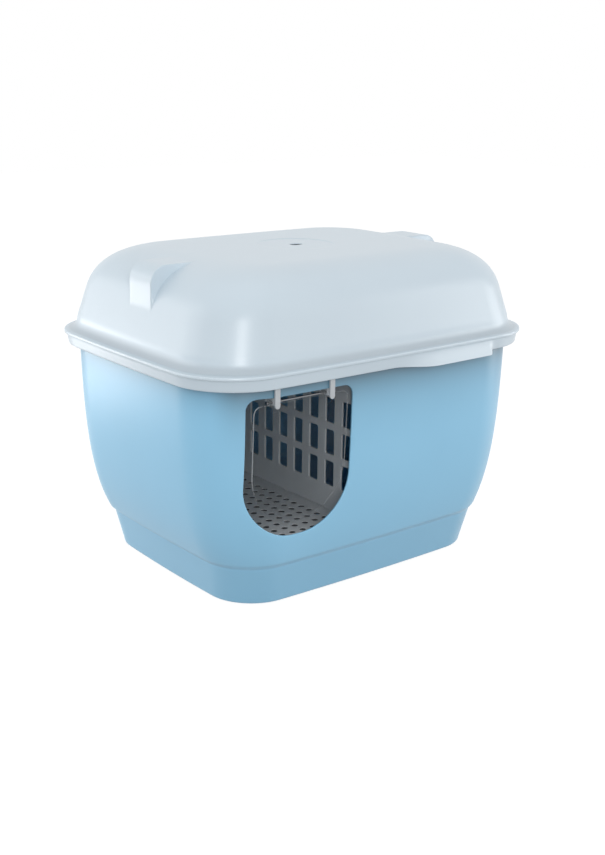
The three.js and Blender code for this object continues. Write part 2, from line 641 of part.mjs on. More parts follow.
function walkwayDeck() {
  const far = OVERALL_WIDTH / 2;
  const window = box([-far, -far, 0], [DECK_RIGHT, DECK_BACK, DECK_HEIGHT]);
  const plate = nested(DECK_UNDERSIDE, DECK_HEIGHT, DECK_GAP).intersect(window);
  const legs = nested(TUB_FLOOR + FIT, DECK_UNDERSIDE + 1, LEG_INSET - BASE_FLARE).intersect(window);
  const hollow = nested(0, DECK_UNDERSIDE, LEG_INSET - BASE_FLARE + SKIRT_PANEL).intersect(
    box([-far, -far, 0], [PARTITION_RIGHT - SKIRT_PANEL, DECK_BACK - SKIRT_PANEL, DECK_UNDERSIDE]),
  );
  const openFront = box(
    [-far, -far, 0], [PARTITION_RIGHT - SKIRT_PANEL, DECK_FRONT + 2 * LEG_INSET, DECK_UNDERSIDE],
  );
  const beyondPartition = box([PARTITION_RIGHT, -far, 0], [far, far, DECK_UNDERSIDE]);
  const stand = legs.subtract(hollow).subtract(openFront).subtract(beyondPartition);
  return plate.add(stand).subtract(deckHoles()).subtract(tabSolids(FIT, DECK_UNDERSIDE - OVERCUT));
}

// The litter holes: a square grid over the deck, inside its rounded corner.
function deckHoles() {
  const section = inset(tubSection(DECK_UNDERSIDE), TUB_WALL + DECK_GAP + HOLE_EDGE_GAP);
  const fits = (x, y) => {
    const dx = Math.max(Math.abs(x) - (section.halfWidth - section.corner), 0);
    const dy = Math.max(-y - (section.halfDepth - section.corner), 0);
    return Math.hypot(dx, dy) <= section.corner - SIDE_BOW;
  };
  const holes = [];
  const depth = DECK_THICKNESS + 2;
  for (let x = PARTITION_FACE - HOLE_SIDE_BAND; x > -section.halfWidth; x -= HOLE_PITCH) {
    for (let y = DECK_BACK - HOLE_BACK_BAND; y > -section.halfDepth; y -= HOLE_PITCH) {
      if (fits(x, y)) {
        const hole = new THREE.CylinderGeometry(HOLE_RADIUS, HOLE_RADIUS, depth, HOLE_SIDES);
        holes.push(toSolid(hole.rotateX(Math.PI / 2).translate(x, y, DECK_HEIGHT - DECK_THICKNESS / 2)));
      }
    }
  }
  return wasm.Manifold.union(holes);
}

// The partition's tabs, or with some clearance the sockets that they stand in.
function tabSolids(clearance, low) {
  const tabs = [];
  for (let y = DECK_BACK - TAB_BACK_MARGIN; y > DECK_FRONT + TAB_LENGTH; y -= TAB_PITCH) {
    tabs.push(box(
      [PARTITION_FACE - clearance, y - TAB_LENGTH / 2 - clearance, low],
      [PARTITION_RIGHT + clearance, y + TAB_LENGTH / 2 + clearance, DECK_HEIGHT + 1],
    ));
  }
  return wasm.Manifold.union(tabs);
}

function slottedPartition() {
  const low = DECK_HEIGHT + FIT;
  const high = PARTITION_TOP;
  const front = DECK_FRONT + PARTITION_FRONT_GAP;
  const back = DECK_BACK - PARTITION_BACK_MARGIN;
  const outline = new THREE.Shape();
  outline.moveTo(front, low);
  outline.lineTo(back, low);
  outline.lineTo(back, high - PARTITION_CORNER);
  outline.absarc(back - PARTITION_CORNER, high - PARTITION_CORNER, PARTITION_CORNER, 0, Math.PI / 2);
  outline.absarc(
    front - PARTITION_FRONT_LEAN + PARTITION_CORNER, high - PARTITION_CORNER, PARTITION_CORNER,
    Math.PI / 2, Math.PI,
  );
  const lastSlot = front + SLOT_FRONT_MARGIN;
  const highestSlot = high - SLOT_TOP_MARGIN - SLOT_HEIGHT;
  for (let y = back - SLOT_BACK_MARGIN - SLOT_WIDTH; y >= lastSlot; y -= SLOT_PITCH) {
    for (let z = DECK_HEIGHT + SLOT_FIRST_HEIGHT; z <= highestSlot; z += SLOT_RISE) {
      outline.holes.push(rectangle(
        y, z, y + SLOT_WIDTH, z + SLOT_HEIGHT, Array(4).fill(SLOT_CORNER),
      ));
    }
  }
  const geometry = new THREE.ExtrudeGeometry(outline, {
    depth: PARTITION_THICKNESS, bevelEnabled: false, curveSegments: 1,
  });
  const panel = toSolid(
    geometry.rotateX(Math.PI / 2).rotateZ(Math.PI / 2).translate(PARTITION_FACE, 0, 0),
  );
  return panel.add(tabSolids(0, DECK_UNDERSIDE));
}

// ---- Assembly -----------------------------------------------------------------------------------

const materials = {
  bluePlastic: new THREE.MeshStandardMaterial({ color: 0x9ccbe8, roughness: 0.45, metalness: 0 }),
  whitePlastic: new THREE.MeshStandardMaterial({ color: 0xe6eef4, roughness: 0.4, metalness: 0 }),
  clearPlastic: new THREE.MeshStandardMaterial({
    color: 0x8c949c, roughness: 0.1, metalness: 0, transparent: true, opacity: 0.3,
  }),
  hangerPlastic: new THREE.MeshStandardMaterial({ color: 0xd4d8dc, roughness: 0.4, metalness: 0 }),
  steel: new THREE.MeshStandardMaterial({ color: 0xb8bcc0, roughness: 0.3, metalness: 1 }),
  greyPlastic: new THREE.MeshStandardMaterial({ color: 0x6a6e73, roughness: 0.5, metalness: 0 }),
};

function named(name, solid, material) {
  const mesh = new THREE.Mesh(toGeometry(solid), material);
  mesh.name = name;
  return mesh;
}

const litterBox = new THREE.Group();
litterBox.add(
  named('tub_shell', tubShell(), materials.bluePlastic),
  named('flap_hanger_left', flapHanger(hangerPlaces[0]), materials.hangerPlastic),
  named('flap_hanger_right', flapHanger(hangerPlaces[1]), materials.hangerPlastic),
  named('entry_flap', entryFlap(), materials.clearPlastic),
  named('flap_hinge_rod', hingeRod(), materials.steel),
  named('walkway_deck', walkwayDeck(), materials.greyPlastic),
  named('slotted_partition', slottedPartition(), materials.greyPlastic),
  named('hood_shell', hoodShell(), materials.whitePlastic),
);

export default litterBox;
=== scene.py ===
# %% [markdown]
# # A cat litter box with a hood, dressed for close viewing
# The solid model of the box arrives as a fixed frame of named nodes that ride on moving bodies. This
# lesson keeps that frame's places and sizes and lays a finer skin over it: a smooth blue tub with a
# round-edged door, a white hood with grips and finger lips, a clear flap on a rod, and a grey walkway
# with holes and slots. The frame is loaded first, and the box of each of its parts is printed.
# %% Load the frame
import math

import bmesh
import bpy
import numpy as np
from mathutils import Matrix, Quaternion, Vector
from mathutils.geometry import delaunay_2d_cdt


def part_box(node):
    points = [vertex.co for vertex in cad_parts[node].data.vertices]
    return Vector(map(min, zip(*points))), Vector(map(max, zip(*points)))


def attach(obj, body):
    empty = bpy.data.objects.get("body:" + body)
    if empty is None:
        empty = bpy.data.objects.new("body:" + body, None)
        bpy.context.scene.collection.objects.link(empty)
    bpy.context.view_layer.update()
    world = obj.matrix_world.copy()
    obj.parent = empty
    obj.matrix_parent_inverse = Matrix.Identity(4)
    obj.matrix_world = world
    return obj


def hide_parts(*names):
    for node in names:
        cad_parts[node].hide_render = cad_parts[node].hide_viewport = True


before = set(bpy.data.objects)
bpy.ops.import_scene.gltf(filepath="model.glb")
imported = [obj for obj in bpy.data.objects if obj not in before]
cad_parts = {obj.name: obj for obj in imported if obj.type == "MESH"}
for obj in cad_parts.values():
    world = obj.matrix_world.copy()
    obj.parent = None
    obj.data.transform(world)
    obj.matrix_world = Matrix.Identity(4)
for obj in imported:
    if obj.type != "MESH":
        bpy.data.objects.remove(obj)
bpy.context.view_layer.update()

MM = 0.001


def node_box(name):
    low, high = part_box(name)
    return np.array(low) / MM, np.array(high) / MM


for name in sorted(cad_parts):
    low, high = node_box(name)
    print(f"{name}: {np.round(low, 1)} to {np.round(high, 1)} mm")

# %% [markdown]
# ## The camera
# The camera stands to the front left and a little above, where it sees the door, the left side and the
# top together. A camera can be turned by angles, but it is easier to say where it stands and what it
# looks at, and to let a quaternion work out the turn.
# %% Camera
LOOK_AT = Vector((0.9, -19.3, 174.65)) * MM
CAMERA_YAW = math.radians(-38.34)
CAMERA_PITCH = math.radians(16.77)
CAMERA_ROLL = math.radians(0.77)
CAMERA_DISTANCE = 1.7394
CAMERA_LENS = 50.3

camera = bpy.data.objects.new("camera", bpy.data.cameras.new("camera"))
bpy.context.scene.collection.objects.link(camera)
outward = Vector((
    math.sin(CAMERA_YAW) * math.cos(CAMERA_PITCH),
    -math.cos(CAMERA_YAW) * math.cos(CAMERA_PITCH),
    math.sin(CAMERA_PITCH),
))
camera.location = LOOK_AT + outward * CAMERA_DISTANCE
roll = Quaternion((0, 0, 1), CAMERA_ROLL)
camera.rotation_euler = (outward.to_track_quat("Z", "Y") @ roll).to_euler()
camera.data.lens = CAMERA_LENS
camera.data.clip_start = 0.01
bpy.context.scene.camera = camera
print(f"camera at {np.round(np.array(camera.location) / MM)} mm")

# %% [markdown]
# ## Wires: node trees written as Python
# Materials and Geometry Nodes are both graphs of nodes. Linking them one by one makes long and dull
# code, so two small classes do it here. A Wire holds one output socket, and Python's own operators on it
# add Math nodes, so that `1 - mask` works. Nodes makes every other node from its type, its settings, and
# the values or wires of its sockets.
# %% Wires and nodes
class Wire:
    """An output socket that Python's operators work on."""

    def __init__(self, nodes, socket):
        self.nodes, self.socket = nodes, socket

    def math(self, operation, *values):
        return self.nodes.make("ShaderNodeMath", {"operation": operation}, dict(enumerate(values)))

    def __add__(self, other):
        return self.math("ADD", self, other)

    def __sub__(self, other):
        return self.math("SUBTRACT", self, other)

    def __rsub__(self, other):
        return self.math("SUBTRACT", other, self)

    def __mul__(self, other):
        return self.math("MULTIPLY", self, other)

    def __truediv__(self, other):
        return self.math("DIVIDE", self, other)

    def __rtruediv__(self, other):
        return self.math("DIVIDE", other, self)

    def __gt__(self, other):
        return self.math("GREATER_THAN", self, other)

    def __lt__(self, other):
        return self.math("LESS_THAN", self, other)

    __radd__ = __add__
    __rmul__ = __mul__

    def out(self, name):
        """Another output of the same node."""
        return Wire(self.nodes, self.socket.node.outputs[name])


class Nodes:
    """Adds nodes to a tree: the settings are set first, then the sockets get values or wires."""

    def __init__(self, tree):
        self.tree = tree

    def make(self, kind, settings=None, sockets=None):
        node = self.tree.nodes.new(kind)
        for key, value in (settings or {}).items():
            if key == "stops":
                self.fill_ramp(node, value)
            else:
                setattr(node, key, value)
        for key, value in (sockets or {}).items():
            if isinstance(value, Wire):
                self.tree.links.new(value.socket, node.inputs[key])
            else:
                node.inputs[key].default_value = value
        return Wire(self, node.outputs[0]) if len(node.outputs) else node

    @staticmethod
    def fill_ramp(node, stops):
        elements = node.color_ramp.elements
        while len(elements) < len(stops):
            elements.new(0.5)
        for element, (place, colour) in zip(elements, stops):
            element.position, element.color = place, colour

# %% [markdown]
# ## The shared outline: a rounded rectangle with bowed sides
# Seen from above, the tub and the hood are the same figure at every height: a rectangle with large round
# corners whose sides bow out a little. Only its half width, half depth and corner radius change on the way
# up. So one function lays out a whole stack of rings at once. Where a side carries something with a fixed
# place, such as a lip or a grip, its stops are given in millimetres and keep that place on every ring.
# %% Rings
SIDE_BOW = 5.0
CORNER_STEPS = 18


class Stops:
    """Places along one side: fixed ones in millimetres out to `span`, then shares of what is left."""

    def __init__(self, fixed, outer):
        fixed = np.array(sorted(fixed), float)
        self.span = max(-fixed[0], fixed[-1])
        shares = np.arange(1, outer) / outer
        ends = np.full(outer - 1, self.span)
        self.place = np.concatenate([-ends, fixed, ends])
        self.share = np.concatenate([-shares[::-1], np.zeros(len(fixed)), shares])

    def along(self, flat):
        return (self.place * np.minimum(1, flat / self.span)
                + self.share * np.maximum(flat - self.span, 0))


def bow(x, y, half_width, half_depth):
    return (x - np.sign(x) * SIDE_BOW * np.abs(x / half_width) * (y / half_depth) ** 2,
            y - np.sign(y) * SIDE_BOW * np.abs(y / half_depth) * (x / half_width) ** 2)


def lay_rings(half_width, half_depth, corner, height, sides):
    """Rows of points, one row for each height, round the right, back, left and front sides."""
    half_width, half_depth, corner, height = (
        np.atleast_1d(np.asarray(v, float))[:, None] for v in (half_width, half_depth, corner, height))
    flat_x, flat_y = half_width - corner, half_depth - corner
    turn = [(1, 1), (-1, 1), (-1, -1), (1, -1)]
    xs, ys = [], []
    for quarter, stops in enumerate(sides):
        along = stops.along(flat_x if quarter % 2 else flat_y)
        edge = np.ones_like(along)
        xs.append([half_width * edge, -along, -half_width * edge, along][quarter])
        ys.append([along, half_depth * edge, -along, -half_depth * edge][quarter])
        angle = (quarter + np.arange(CORNER_STEPS + 1) / CORNER_STEPS) * math.pi / 2
        xs.append(turn[quarter][0] * flat_x + corner * np.cos(angle))
        ys.append(turn[quarter][1] * flat_y + corner * np.sin(angle))
    x, y = bow(np.hstack(xs), np.hstack(ys), half_width, half_depth)
    return np.stack([x, y, height * np.ones_like(x)], axis=2)


# %% Meshes from rows of points
WELD = 2e-6
SMOOTH_UP_TO = math.radians(35)


def quads(rows, columns, first=0):
    """Faces between neighbouring rows of a stack of closed rings."""
    row, column = np.meshgrid(np.arange(rows - 1), np.arange(columns), indexing="ij")
    a = first + row * columns + column
    b = first + row * columns + (column + 1) % columns
    return np.stack([a, b, b + columns, a + columns], axis=2).reshape(-1, 4)


def new_piece(name, points, faces):
    """A mesh object from millimetre points, welded, with faces that point outwards."""
    mesh = bpy.data.meshes.new(name)
    mesh.from_pydata((np.asarray(points, float) * MM).tolist(), [], [list(map(int, f)) for f in faces])
    obj = bpy.data.objects.new(name, mesh)
    bpy.context.scene.collection.objects.link(obj)
    tidy_mesh(obj)
    return obj


def tidy_mesh(obj):
    """Welds a mesh, turns its faces outwards and smooths it, apart from its sharp edges."""
    bm = bmesh.new()
    bm.from_mesh(obj.data)
    bmesh.ops.remove_doubles(bm, verts=bm.verts, dist=WELD)
    bmesh.ops.dissolve_degenerate(bm, edges=bm.edges, dist=WELD / 2)
    bmesh.ops.recalc_face_normals(bm, faces=bm.faces)
    open_edges = sum(1 for edge in bm.edges if len(edge.link_faces) != 2)
    for edge in bm.edges:
        edge.smooth = len(edge.link_faces) == 2 and edge.calc_face_angle(0) < SMOOTH_UP_TO
    for face in bm.faces:
        face.smooth = True
    bm.to_mesh(obj.data)
    bm.free()
    print(f"{obj.name}: {len(obj.data.polygons)} faces, {open_edges} open edges")


# %% [markdown]
# ## The tub's wall
# The tub is moulded in one piece: a base that leans out, a small step, and a wall that spreads quickly
# above the step and then stands almost straight. A subdivision surface would round the step away, so the
# section is worked out for each height instead, and only the two corners of the step are softened by
# averaging over a few millimetres.
# %% The tub's section
TUB_WALL = 3.0
TUB_FLOOR = 3.0
RIM = node_box("tub_shell")[1][2]
BASE_ROUND = 2.5
STEP_LOW, STEP_HIGH = 55.0, 60.0
STEP_SOFTNESS = 2.4
WALL_CURVE = 72.0
BEAD_HEIGHT, BEAD_OUT = 6.0, 3.5

# Half width, half depth and corner radius: at the foot, and what the lean adds up to the step; then the
# wall's far above the step, and how much less each is just over it.
BASE_FOOT, BASE_GROWTH = (221, 174.5, 63.5), (10.5, 10.5, 1.5)
WALL_FULL, WALL_LESS = (275, 209.5, 92), (35.5, 19, 16)


def hard_section(z):
    """Half width, half depth and corner radius of the tub's outside at each height."""
    lean = np.clip((z - BASE_ROUND) / (STEP_LOW - BASE_ROUND), 0, 1)
    base = np.stack([foot + growth * lean for foot, growth in zip(BASE_FOOT, BASE_GROWTH)])
    left = np.exp(-(np.maximum(z, STEP_HIGH) - STEP_HIGH) / WALL_CURVE)
    wall = np.stack([full - less * left for full, less in zip(WALL_FULL, WALL_LESS)])
    part = np.clip((z - STEP_LOW) / (STEP_HIGH - STEP_LOW), 0, 1)
    return base + (wall - base) * part


def tub_section(z):
    """The same, with the step's two corners softened."""
    z = np.asarray(z, float)
    offsets = np.linspace(-STEP_SOFTNESS, STEP_SOFTNESS, 9)
    return sum(hard_section(z + offset) for offset in offsets) / len(offsets)


def wall_points(run, z, inset):
    """Points of the tub's front left wall. `run` is the way along it in millimetres: x on the straight
    part, and past its end the arc of the corner."""
    half_width, half_depth, corner = tub_section(z) - inset
    flat_x, flat_y = half_width - corner, half_depth - corner
    share = (np.abs(run) - FRONT_SPAN) / (FLAT_RUN - FRONT_SPAN)
    reach = np.where(share > 0, FRONT_SPAN + share * (flat_x - FRONT_SPAN), np.abs(run))
    angle = np.maximum(-run - FLAT_RUN, 0) / CORNER_RUN
    x = np.where(angle > 0, -flat_x - corner * np.sin(angle), np.sign(run) * reach)
    y = np.where(angle > 0, -flat_y - corner * np.cos(angle), -half_depth)
    x, y = bow(x, y, half_width, half_depth)
    return np.stack([x, y, z + 0 * x], axis=-1)


# %% [markdown]
# ## The door's outline
# The entry door is a rectangle with small corners above and a nearly half round sill below. Its outline is
# kept as a function of how far it is grown, because the rounded edge of the opening needs several copies
# of it, each a little larger, that match point for point.
# %% Door outline
DOOR_MIDDLE = -145.5
DOOR_HALF = 78.6
DOOR_SILL, DOOR_TOP = 101.0, 291.0
DOOR_LOW_CORNER, DOOR_TOP_CORNER = 74.0, 14.0
DOOR_EDGE = 1.0
DOOR_ARC_STEPS, DOOR_STRAIGHT_STEP = (36, 36, 8, 8), 3.0


def rounded_outline(left, low, right, high, radii, arc_steps, straight_step):
    """Points round a rectangle, counter-clockwise from the lower left corner's arc. `radii` and
    `arc_steps` go round from the lower left."""
    centres = [(left + radii[0], low + radii[0]), (right - radii[1], low + radii[1]),
               (right - radii[2], high - radii[2]), (left + radii[3], high - radii[3])]
    points = []
    for index, (cx, cy) in enumerate(centres):
        steps = arc_steps[index]
        for i in range(steps + 1):
            angle = math.pi * (1 + index / 2) + i / steps * math.pi / 2
            points.append((cx + radii[index] * math.cos(angle), cy + radii[index] * math.sin(angle)))
        ax, ay = points[-1]
        ahead = (index + 1) % 4
        nx, ny = centres[ahead]
        start = math.pi * (1 + ahead / 2)
        bx, by = nx + radii[ahead] * math.cos(start), ny + radii[ahead] * math.sin(start)
        count = max(1, round(math.hypot(bx - ax, by - ay) / straight_step))
        points += [(ax + (bx - ax) * k / count, ay + (by - ay) * k / count) for k in range(1, count)]
    return np.array(points)


def door_outline(grow):
    """The door's outline, grown on every side. The count of points doesn't depend on `grow`."""
    low, high = DOOR_LOW_CORNER + grow, DOOR_TOP_CORNER + grow
    half = DOOR_HALF + grow
    return rounded_outline(
        DOOR_MIDDLE - half, DOOR_SILL - grow, DOOR_MIDDLE + half, DOOR_TOP + grow,
        (low, low, high, high), DOOR_ARC_STEPS, DOOR_STRAIGHT_STEP)


# %% [markdown]
# ## Cutting the door into the grid
# A Boolean would leave slivers round the door and nothing to round its edge with. Here the quads near the
# door are left out, and the gap between their stepped edge and the outline is filled with a Delaunay
# triangulation. It works in flat coordinates, the run along the wall and the height, and the points are
# laid on the wall afterwards, so the patch follows the curve exactly.
# %% Grid of the tub
FRONT_SPAN = 150.0
FLAT_RUN = 188.0
CORNER_RUN = 84.0
FRONT_OUTER = 6

TUB_SIDES = [
    Stops(np.arange(-100, 101, 10), 3),
    Stops(np.arange(-150, 151, 10), 3),
    Stops(np.arange(-100, 101, 10), 3),
    Stops(np.arange(-FRONT_SPAN, FRONT_SPAN + 1, 6), FRONT_OUTER),
]


def arc(count, start=0.0, end=90.0):
    """Pairs of sine and cosine for the steps of a rounded edge, both ends included."""
    return [(math.sin(math.radians(a)), math.cos(math.radians(a)))
            for a in np.linspace(start, end, count + 1)]


def tub_rings(rows):
    """Rings for pairs of height and inset from the tub's outer section."""
    z, inset = np.array(rows, float).T
    return lay_rings(*(tub_section(z) - inset), z, TUB_SIDES)


def shrunk(ring, shares):
    """Copies of a flat ring, drawn towards its middle."""
    return np.stack([ring * (share, share, 1) for share in shares])


WALL_ROWS = np.concatenate([
    np.arange(11, 51, 6.0), np.arange(51, 64, 0.9), np.arange(66, 96, 5.0), np.arange(96, 312, 6.0)])
base_edge = [(BASE_ROUND * (1 - c), BASE_ROUND * (1 - s)) for s, c in arc(6)]
bead_low = RIM - BEAD_HEIGHT
bead = [(bead_low, 0), (bead_low + 0.3, -1.6), (bead_low + 0.9, -2.9), (bead_low + 1.9, -BEAD_OUT),
        (RIM - 1.3, -BEAD_OUT), (RIM - 0.4, -BEAD_OUT + 0.4), (RIM, -BEAD_OUT + 1.3),
        (RIM, TUB_WALL - 1.3), (RIM - 0.4, TUB_WALL - 0.4), (RIM - 1.3, TUB_WALL)]
FLOOR_ROUND = 6.0
floor_edge = [(TUB_FLOOR + FLOOR_ROUND * (1 - c), TUB_WALL + FLOOR_ROUND * (1 - s))
              for s, c in arc(6, 90, 0)]

outer_rows = base_edge + [(z, 0.0) for z in WALL_ROWS] + bead[:6]
inner_rows = bead[6:] + [(z, TUB_WALL) for z in WALL_ROWS[::-1]] + floor_edge
outer = tub_rings(outer_rows)
inner = tub_rings(inner_rows)
FLOOR_SHARES = (0.75, 0.5, 0.25)
rings = np.concatenate([
    shrunk(outer[0], FLOOR_SHARES[::-1]), outer, inner, shrunk(inner[-1], FLOOR_SHARES)])
ring_heights = np.array([0] * 3 + [z for z, _ in outer_rows + inner_rows] + [TUB_FLOOR] * 3)
columns = rings.shape[1]
print(f"tub grid: {len(rings)} rings of {columns} points")

# The way along the front left wall for each column that lies on it.
corner_start = sum(len(stops.place) for stops in TUB_SIDES[:3]) + 2 * (CORNER_STEPS + 1)
corner_angles = np.radians(90 - 90 * np.arange(CORNER_STEPS + 1) / CORNER_STEPS)
front = TUB_SIDES[3]
column_run = np.full(columns, np.nan)
column_run[corner_start:corner_start + CORNER_STEPS + 1] = -FLAT_RUN - CORNER_RUN * corner_angles
front_start = corner_start + CORNER_STEPS + 1
front_run = front.place + front.share * (FLAT_RUN - FRONT_SPAN)
column_run[front_start:front_start + len(front_run)] = front_run


# %% Patch round the door
DOOR_CLEAR = 2.2


def run_at(x, z, inset):
    """The run along the wall at which it has a given x, at each height."""
    samples = np.linspace(-FLAT_RUN - CORNER_RUN * math.pi / 2, FRONT_SPAN, 1500)
    return np.array([
        np.interp(px, wall_points(samples, np.full(len(samples), pz), inset)[:, 0], samples)
        for px, pz in zip(x, z)])


def inside(points, outline):
    """Which points lie inside a closed outline, by counting the edges to their right."""
    x, y = points[:, :1], points[:, 1:2]
    ax, ay = outline[:, 0], outline[:, 1]
    bx, by = np.roll(ax, -1), np.roll(ay, -1)
    spans = (ay > y) != (by > y)
    crossing = ax + (y - ay) * (bx - ax) / np.where(by == ay, 1e-9, by - ay)
    return (spans & (x < crossing)).sum(axis=1) % 2 == 1


def quads_near(outline, first_ring, ring_count):
    """The quads between some rings that an outline on the wall touches, as pairs of ring and column."""
    members = [c for c in range(columns) if not math.isnan(column_run[c])]
    flat = np.array([(column_run[c], ring_heights[r])
                     for r in range(first_ring, first_ring + ring_count) for c in members])
    hit = inside(flat, outline).reshape(ring_count, len(members))
    return {(first_ring + r, members[m]) for r in range(ring_count - 1) for m in range(len(members) - 1)
            if hit[r:r + 2, m:m + 2].any()}


def border_of(gone):
    """The edges round a patch of quads: those that only one of them has."""
    uses = {}
    for r, c in gone:
        square = [(r, c), (r, c + 1), (r + 1, c + 1), (r + 1, c)]
        for a, b in zip(square, square[1:] + square[:1]):
            key = (min(a, b), max(a, b))
            uses[key] = uses.get(key, 0) + 1
    return [key for key, count in uses.items() if count == 1]


def in_any_quad(spot, gone):
    run, height = spot
    for r, c in gone:
        low, high = sorted((ring_heights[r], ring_heights[r + 1]))
        if low < height < high and column_run[c] < run < column_run[c + 1]:
            return True
    return False


def door_patch(first_ring, ring_count, inset, points, base):
    """Leaves out the quads round the door between some rings, and fills up to the grown outline.
    Returns the quads left out, the new faces and the indices of the new outline's points."""
    loop, clear = [
        np.stack([run_at(outline[:, 0], outline[:, 1], inset), outline[:, 1]], axis=1)
        for outline in (door_outline(DOOR_EDGE), door_outline(DOOR_EDGE + DOOR_CLEAR))]
    gone = quads_near(clear, first_ring, ring_count)
    border = border_of(gone)
    stair = sorted({corner for key in border for corner in key})
    local = {corner: i for i, corner in enumerate(stair)}
    coordinates = [(column_run[c], ring_heights[r]) for r, c in stair] + [tuple(p) for p in loop]
    count = len(stair)
    wires = [(local[a], local[b]) for a, b in border]
    wires += [(count + i, count + (i + 1) % len(loop)) for i in range(len(loop))]
    found = delaunay_2d_cdt([Vector(p) for p in coordinates], wires, [], 0, 1e-6)
    spots, triangles, sources = found[0], found[2], found[3]
    index = [r * columns + c for r, c in stair] + [base + i for i in range(len(loop))]
    faces = []
    for triangle in triangles:
        middle = np.mean([spots[i] for i in triangle], axis=0)
        if in_any_quad(middle, gone) and not inside(middle[None], loop)[0]:
            faces.append([index[sources[i][0]] for i in triangle])
    points.append(wall_points(loop[:, 0], loop[:, 1], inset))
    return gone, faces, np.arange(base, base + len(loop))


def door_ring(grow, inset):
    """The door's grown outline, laid on the wall at a depth."""
    outline = door_outline(grow)
    return wall_points(run_at(outline[:, 0], outline[:, 1], inset), outline[:, 1], inset)


# %% Tub mesh
flat_points = rings.reshape(-1, 3)
points = [flat_points]
outer_count, inner_count = len(outer_rows), len(inner_rows)
base = len(flat_points)
gone_outer, faces_outer, loop_outer = door_patch(3, outer_count, 0.0, points, base)
base += len(loop_outer)
gone_inner, faces_inner, loop_inner = door_patch(3 + outer_count, inner_count, TUB_WALL, points, base)
base += len(loop_inner)

faces = quads(len(rings), columns).tolist()
left_out = {r * columns + c for r, c in gone_outer | gone_inner}
faces = [face for face in faces if face[0] not in left_out]
faces += faces_outer + faces_inner

# The opening's own wall, with both of its edges rounded.
profile = [(DOOR_EDGE * (1 - s), DOOR_EDGE * (1 - c)) for s, c in arc(4)][1:]
profile += [(grow, TUB_WALL - inset) for grow, inset in profile[::-1]]
loops = [loop_outer]
for grow, inset in profile:
    points.append(door_ring(grow, inset))
    loops.append(np.arange(base, base + len(loop_outer)))
    base += len(loop_outer)
loops.append(loop_inner)
for first, second in zip(loops, loops[1:]):
    faces += [[a, b, c, d] for a, b, c, d in zip(first, np.roll(first, -1), np.roll(second, -1), second)]

# The middle of the underside and of the floor.
points.append(np.array([[0, 0, 0], [0, 0, TUB_FLOOR]]))
last_ring = (len(rings) - 1) * columns
for i in range(columns):
    faces.append([base, (i + 1) % columns, i])
    faces.append([base + 1, last_ring + i, last_ring + (i + 1) % columns])
tub = new_piece("tub", np.concatenate(points), faces)

# %% [markdown]
# ## Notches for the hangers
# Two clips hang over the tub's rim and carry the flap. The rim has a notch for each, so that the hood can
# still lie flat on it. The notches are plain cuts, and here a Boolean modifier is the quickest way.
# %% Boolean helper and rim notches
HANGER_PLACES = (DOOR_MIDDLE - 42.5, DOOR_MIDDLE + 42.5)
HANGER_HALF = 3.8
NOTCH_GAP = 0.4
NOTCH_DEPTH = 3.2


def block(low, high):
    """Points and faces of a plain cutting block."""
    points = [(x, y, z) for z in (low[2], high[2]) for y in (low[1], high[1]) for x in (low[0], high[0])]
    return points, [(0, 2, 3, 1), (4, 5, 7, 6), (0, 1, 5, 4), (2, 6, 7, 3), (0, 4, 6, 2), (1, 3, 7, 5)]


def apply_modifiers(obj):
    """Turns the object with its modifiers into a plain mesh."""
    bpy.context.view_layer.update()
    evaluated = obj.evaluated_get(bpy.context.evaluated_depsgraph_get())
    mesh = bpy.data.meshes.new_from_object(evaluated)
    obj.modifiers.clear()
    obj.data = mesh


def cut(obj, cutters, operation="DIFFERENCE"):
    """Cuts an object with other objects, which are then removed."""
    for cutter in cutters:
        modifier = obj.modifiers.new("cut", "BOOLEAN")
        modifier.operation, modifier.object, modifier.solver = operation, cutter, "EXACT"
        apply_modifiers(obj)
        bpy.data.objects.remove(cutter)


wall_front = node_box("tub_shell")[0][1]
cut(tub, [new_piece("notch", *block((x - HANGER_HALF - NOTCH_GAP, wall_front - 9, RIM - NOTCH_DEPTH),
                                    (x + HANGER_HALF + NOTCH_GAP, wall_front + 25, RIM + 9)))
          for x in HANGER_PLACES])
tidy_mesh(tub)

# %% [markdown]
# ## The hood's grid
# The hood is one closed skin: it starts at the skirt's lower edge, goes up the outside, over the flange
# and the shoulder to the crown, down through the vent, and back along the inside. Each stretch is a list
# of rings, given by how far they are drawn in from the widest outline and by their height. Near the
# middle the rings turn from rounded rectangles into circles, for the round dish pressed into the crown.
# %% Hood rings
HOOD_HALF_WIDTH, HOOD_HALF_DEPTH, HOOD_CORNER = 290.0, 220.0, 86.0
DEPTH_SHARE, CORNER_SHARE = 0.81, 0.31
WALL_FOOT, WALL_HEAD = (16.2, 340.6), (28.4, 383.0)
HOOD_TOP = node_box("hood_shell")[1][2]
HOOD_WALL = 2.5
FLANGE_UNDER = RIM + 0.4
FLANGE_TOP = FLANGE_UNDER + 2.5
SKIRT_BOTTOM = FLANGE_UNDER - 17.1
SKIRT_TOP = FLANGE_TOP - 4.6
LIP_DROP, LIP_FLARE = 5.4, 8.5
LIP_START, LIP_FULL, LIP_LAST, LIP_END = -8, 72, 172, 184
GRIP_HALF, GRIP_EDGE = 27.5, 2.5
GRIP_STAGGER = 14.0
GRIP_OUT, GRIP_TOP = 262.0, HOOD_TOP - 3.6
GRIP_CORNER = 24.0
GRIP_PIVOT = np.array([182.0, 380.0])
DISH_RADIUS = 54.0
DISH_DEPTH = 0.8
VENT_HALF, VENT_ROUND = 10.0, 6.5

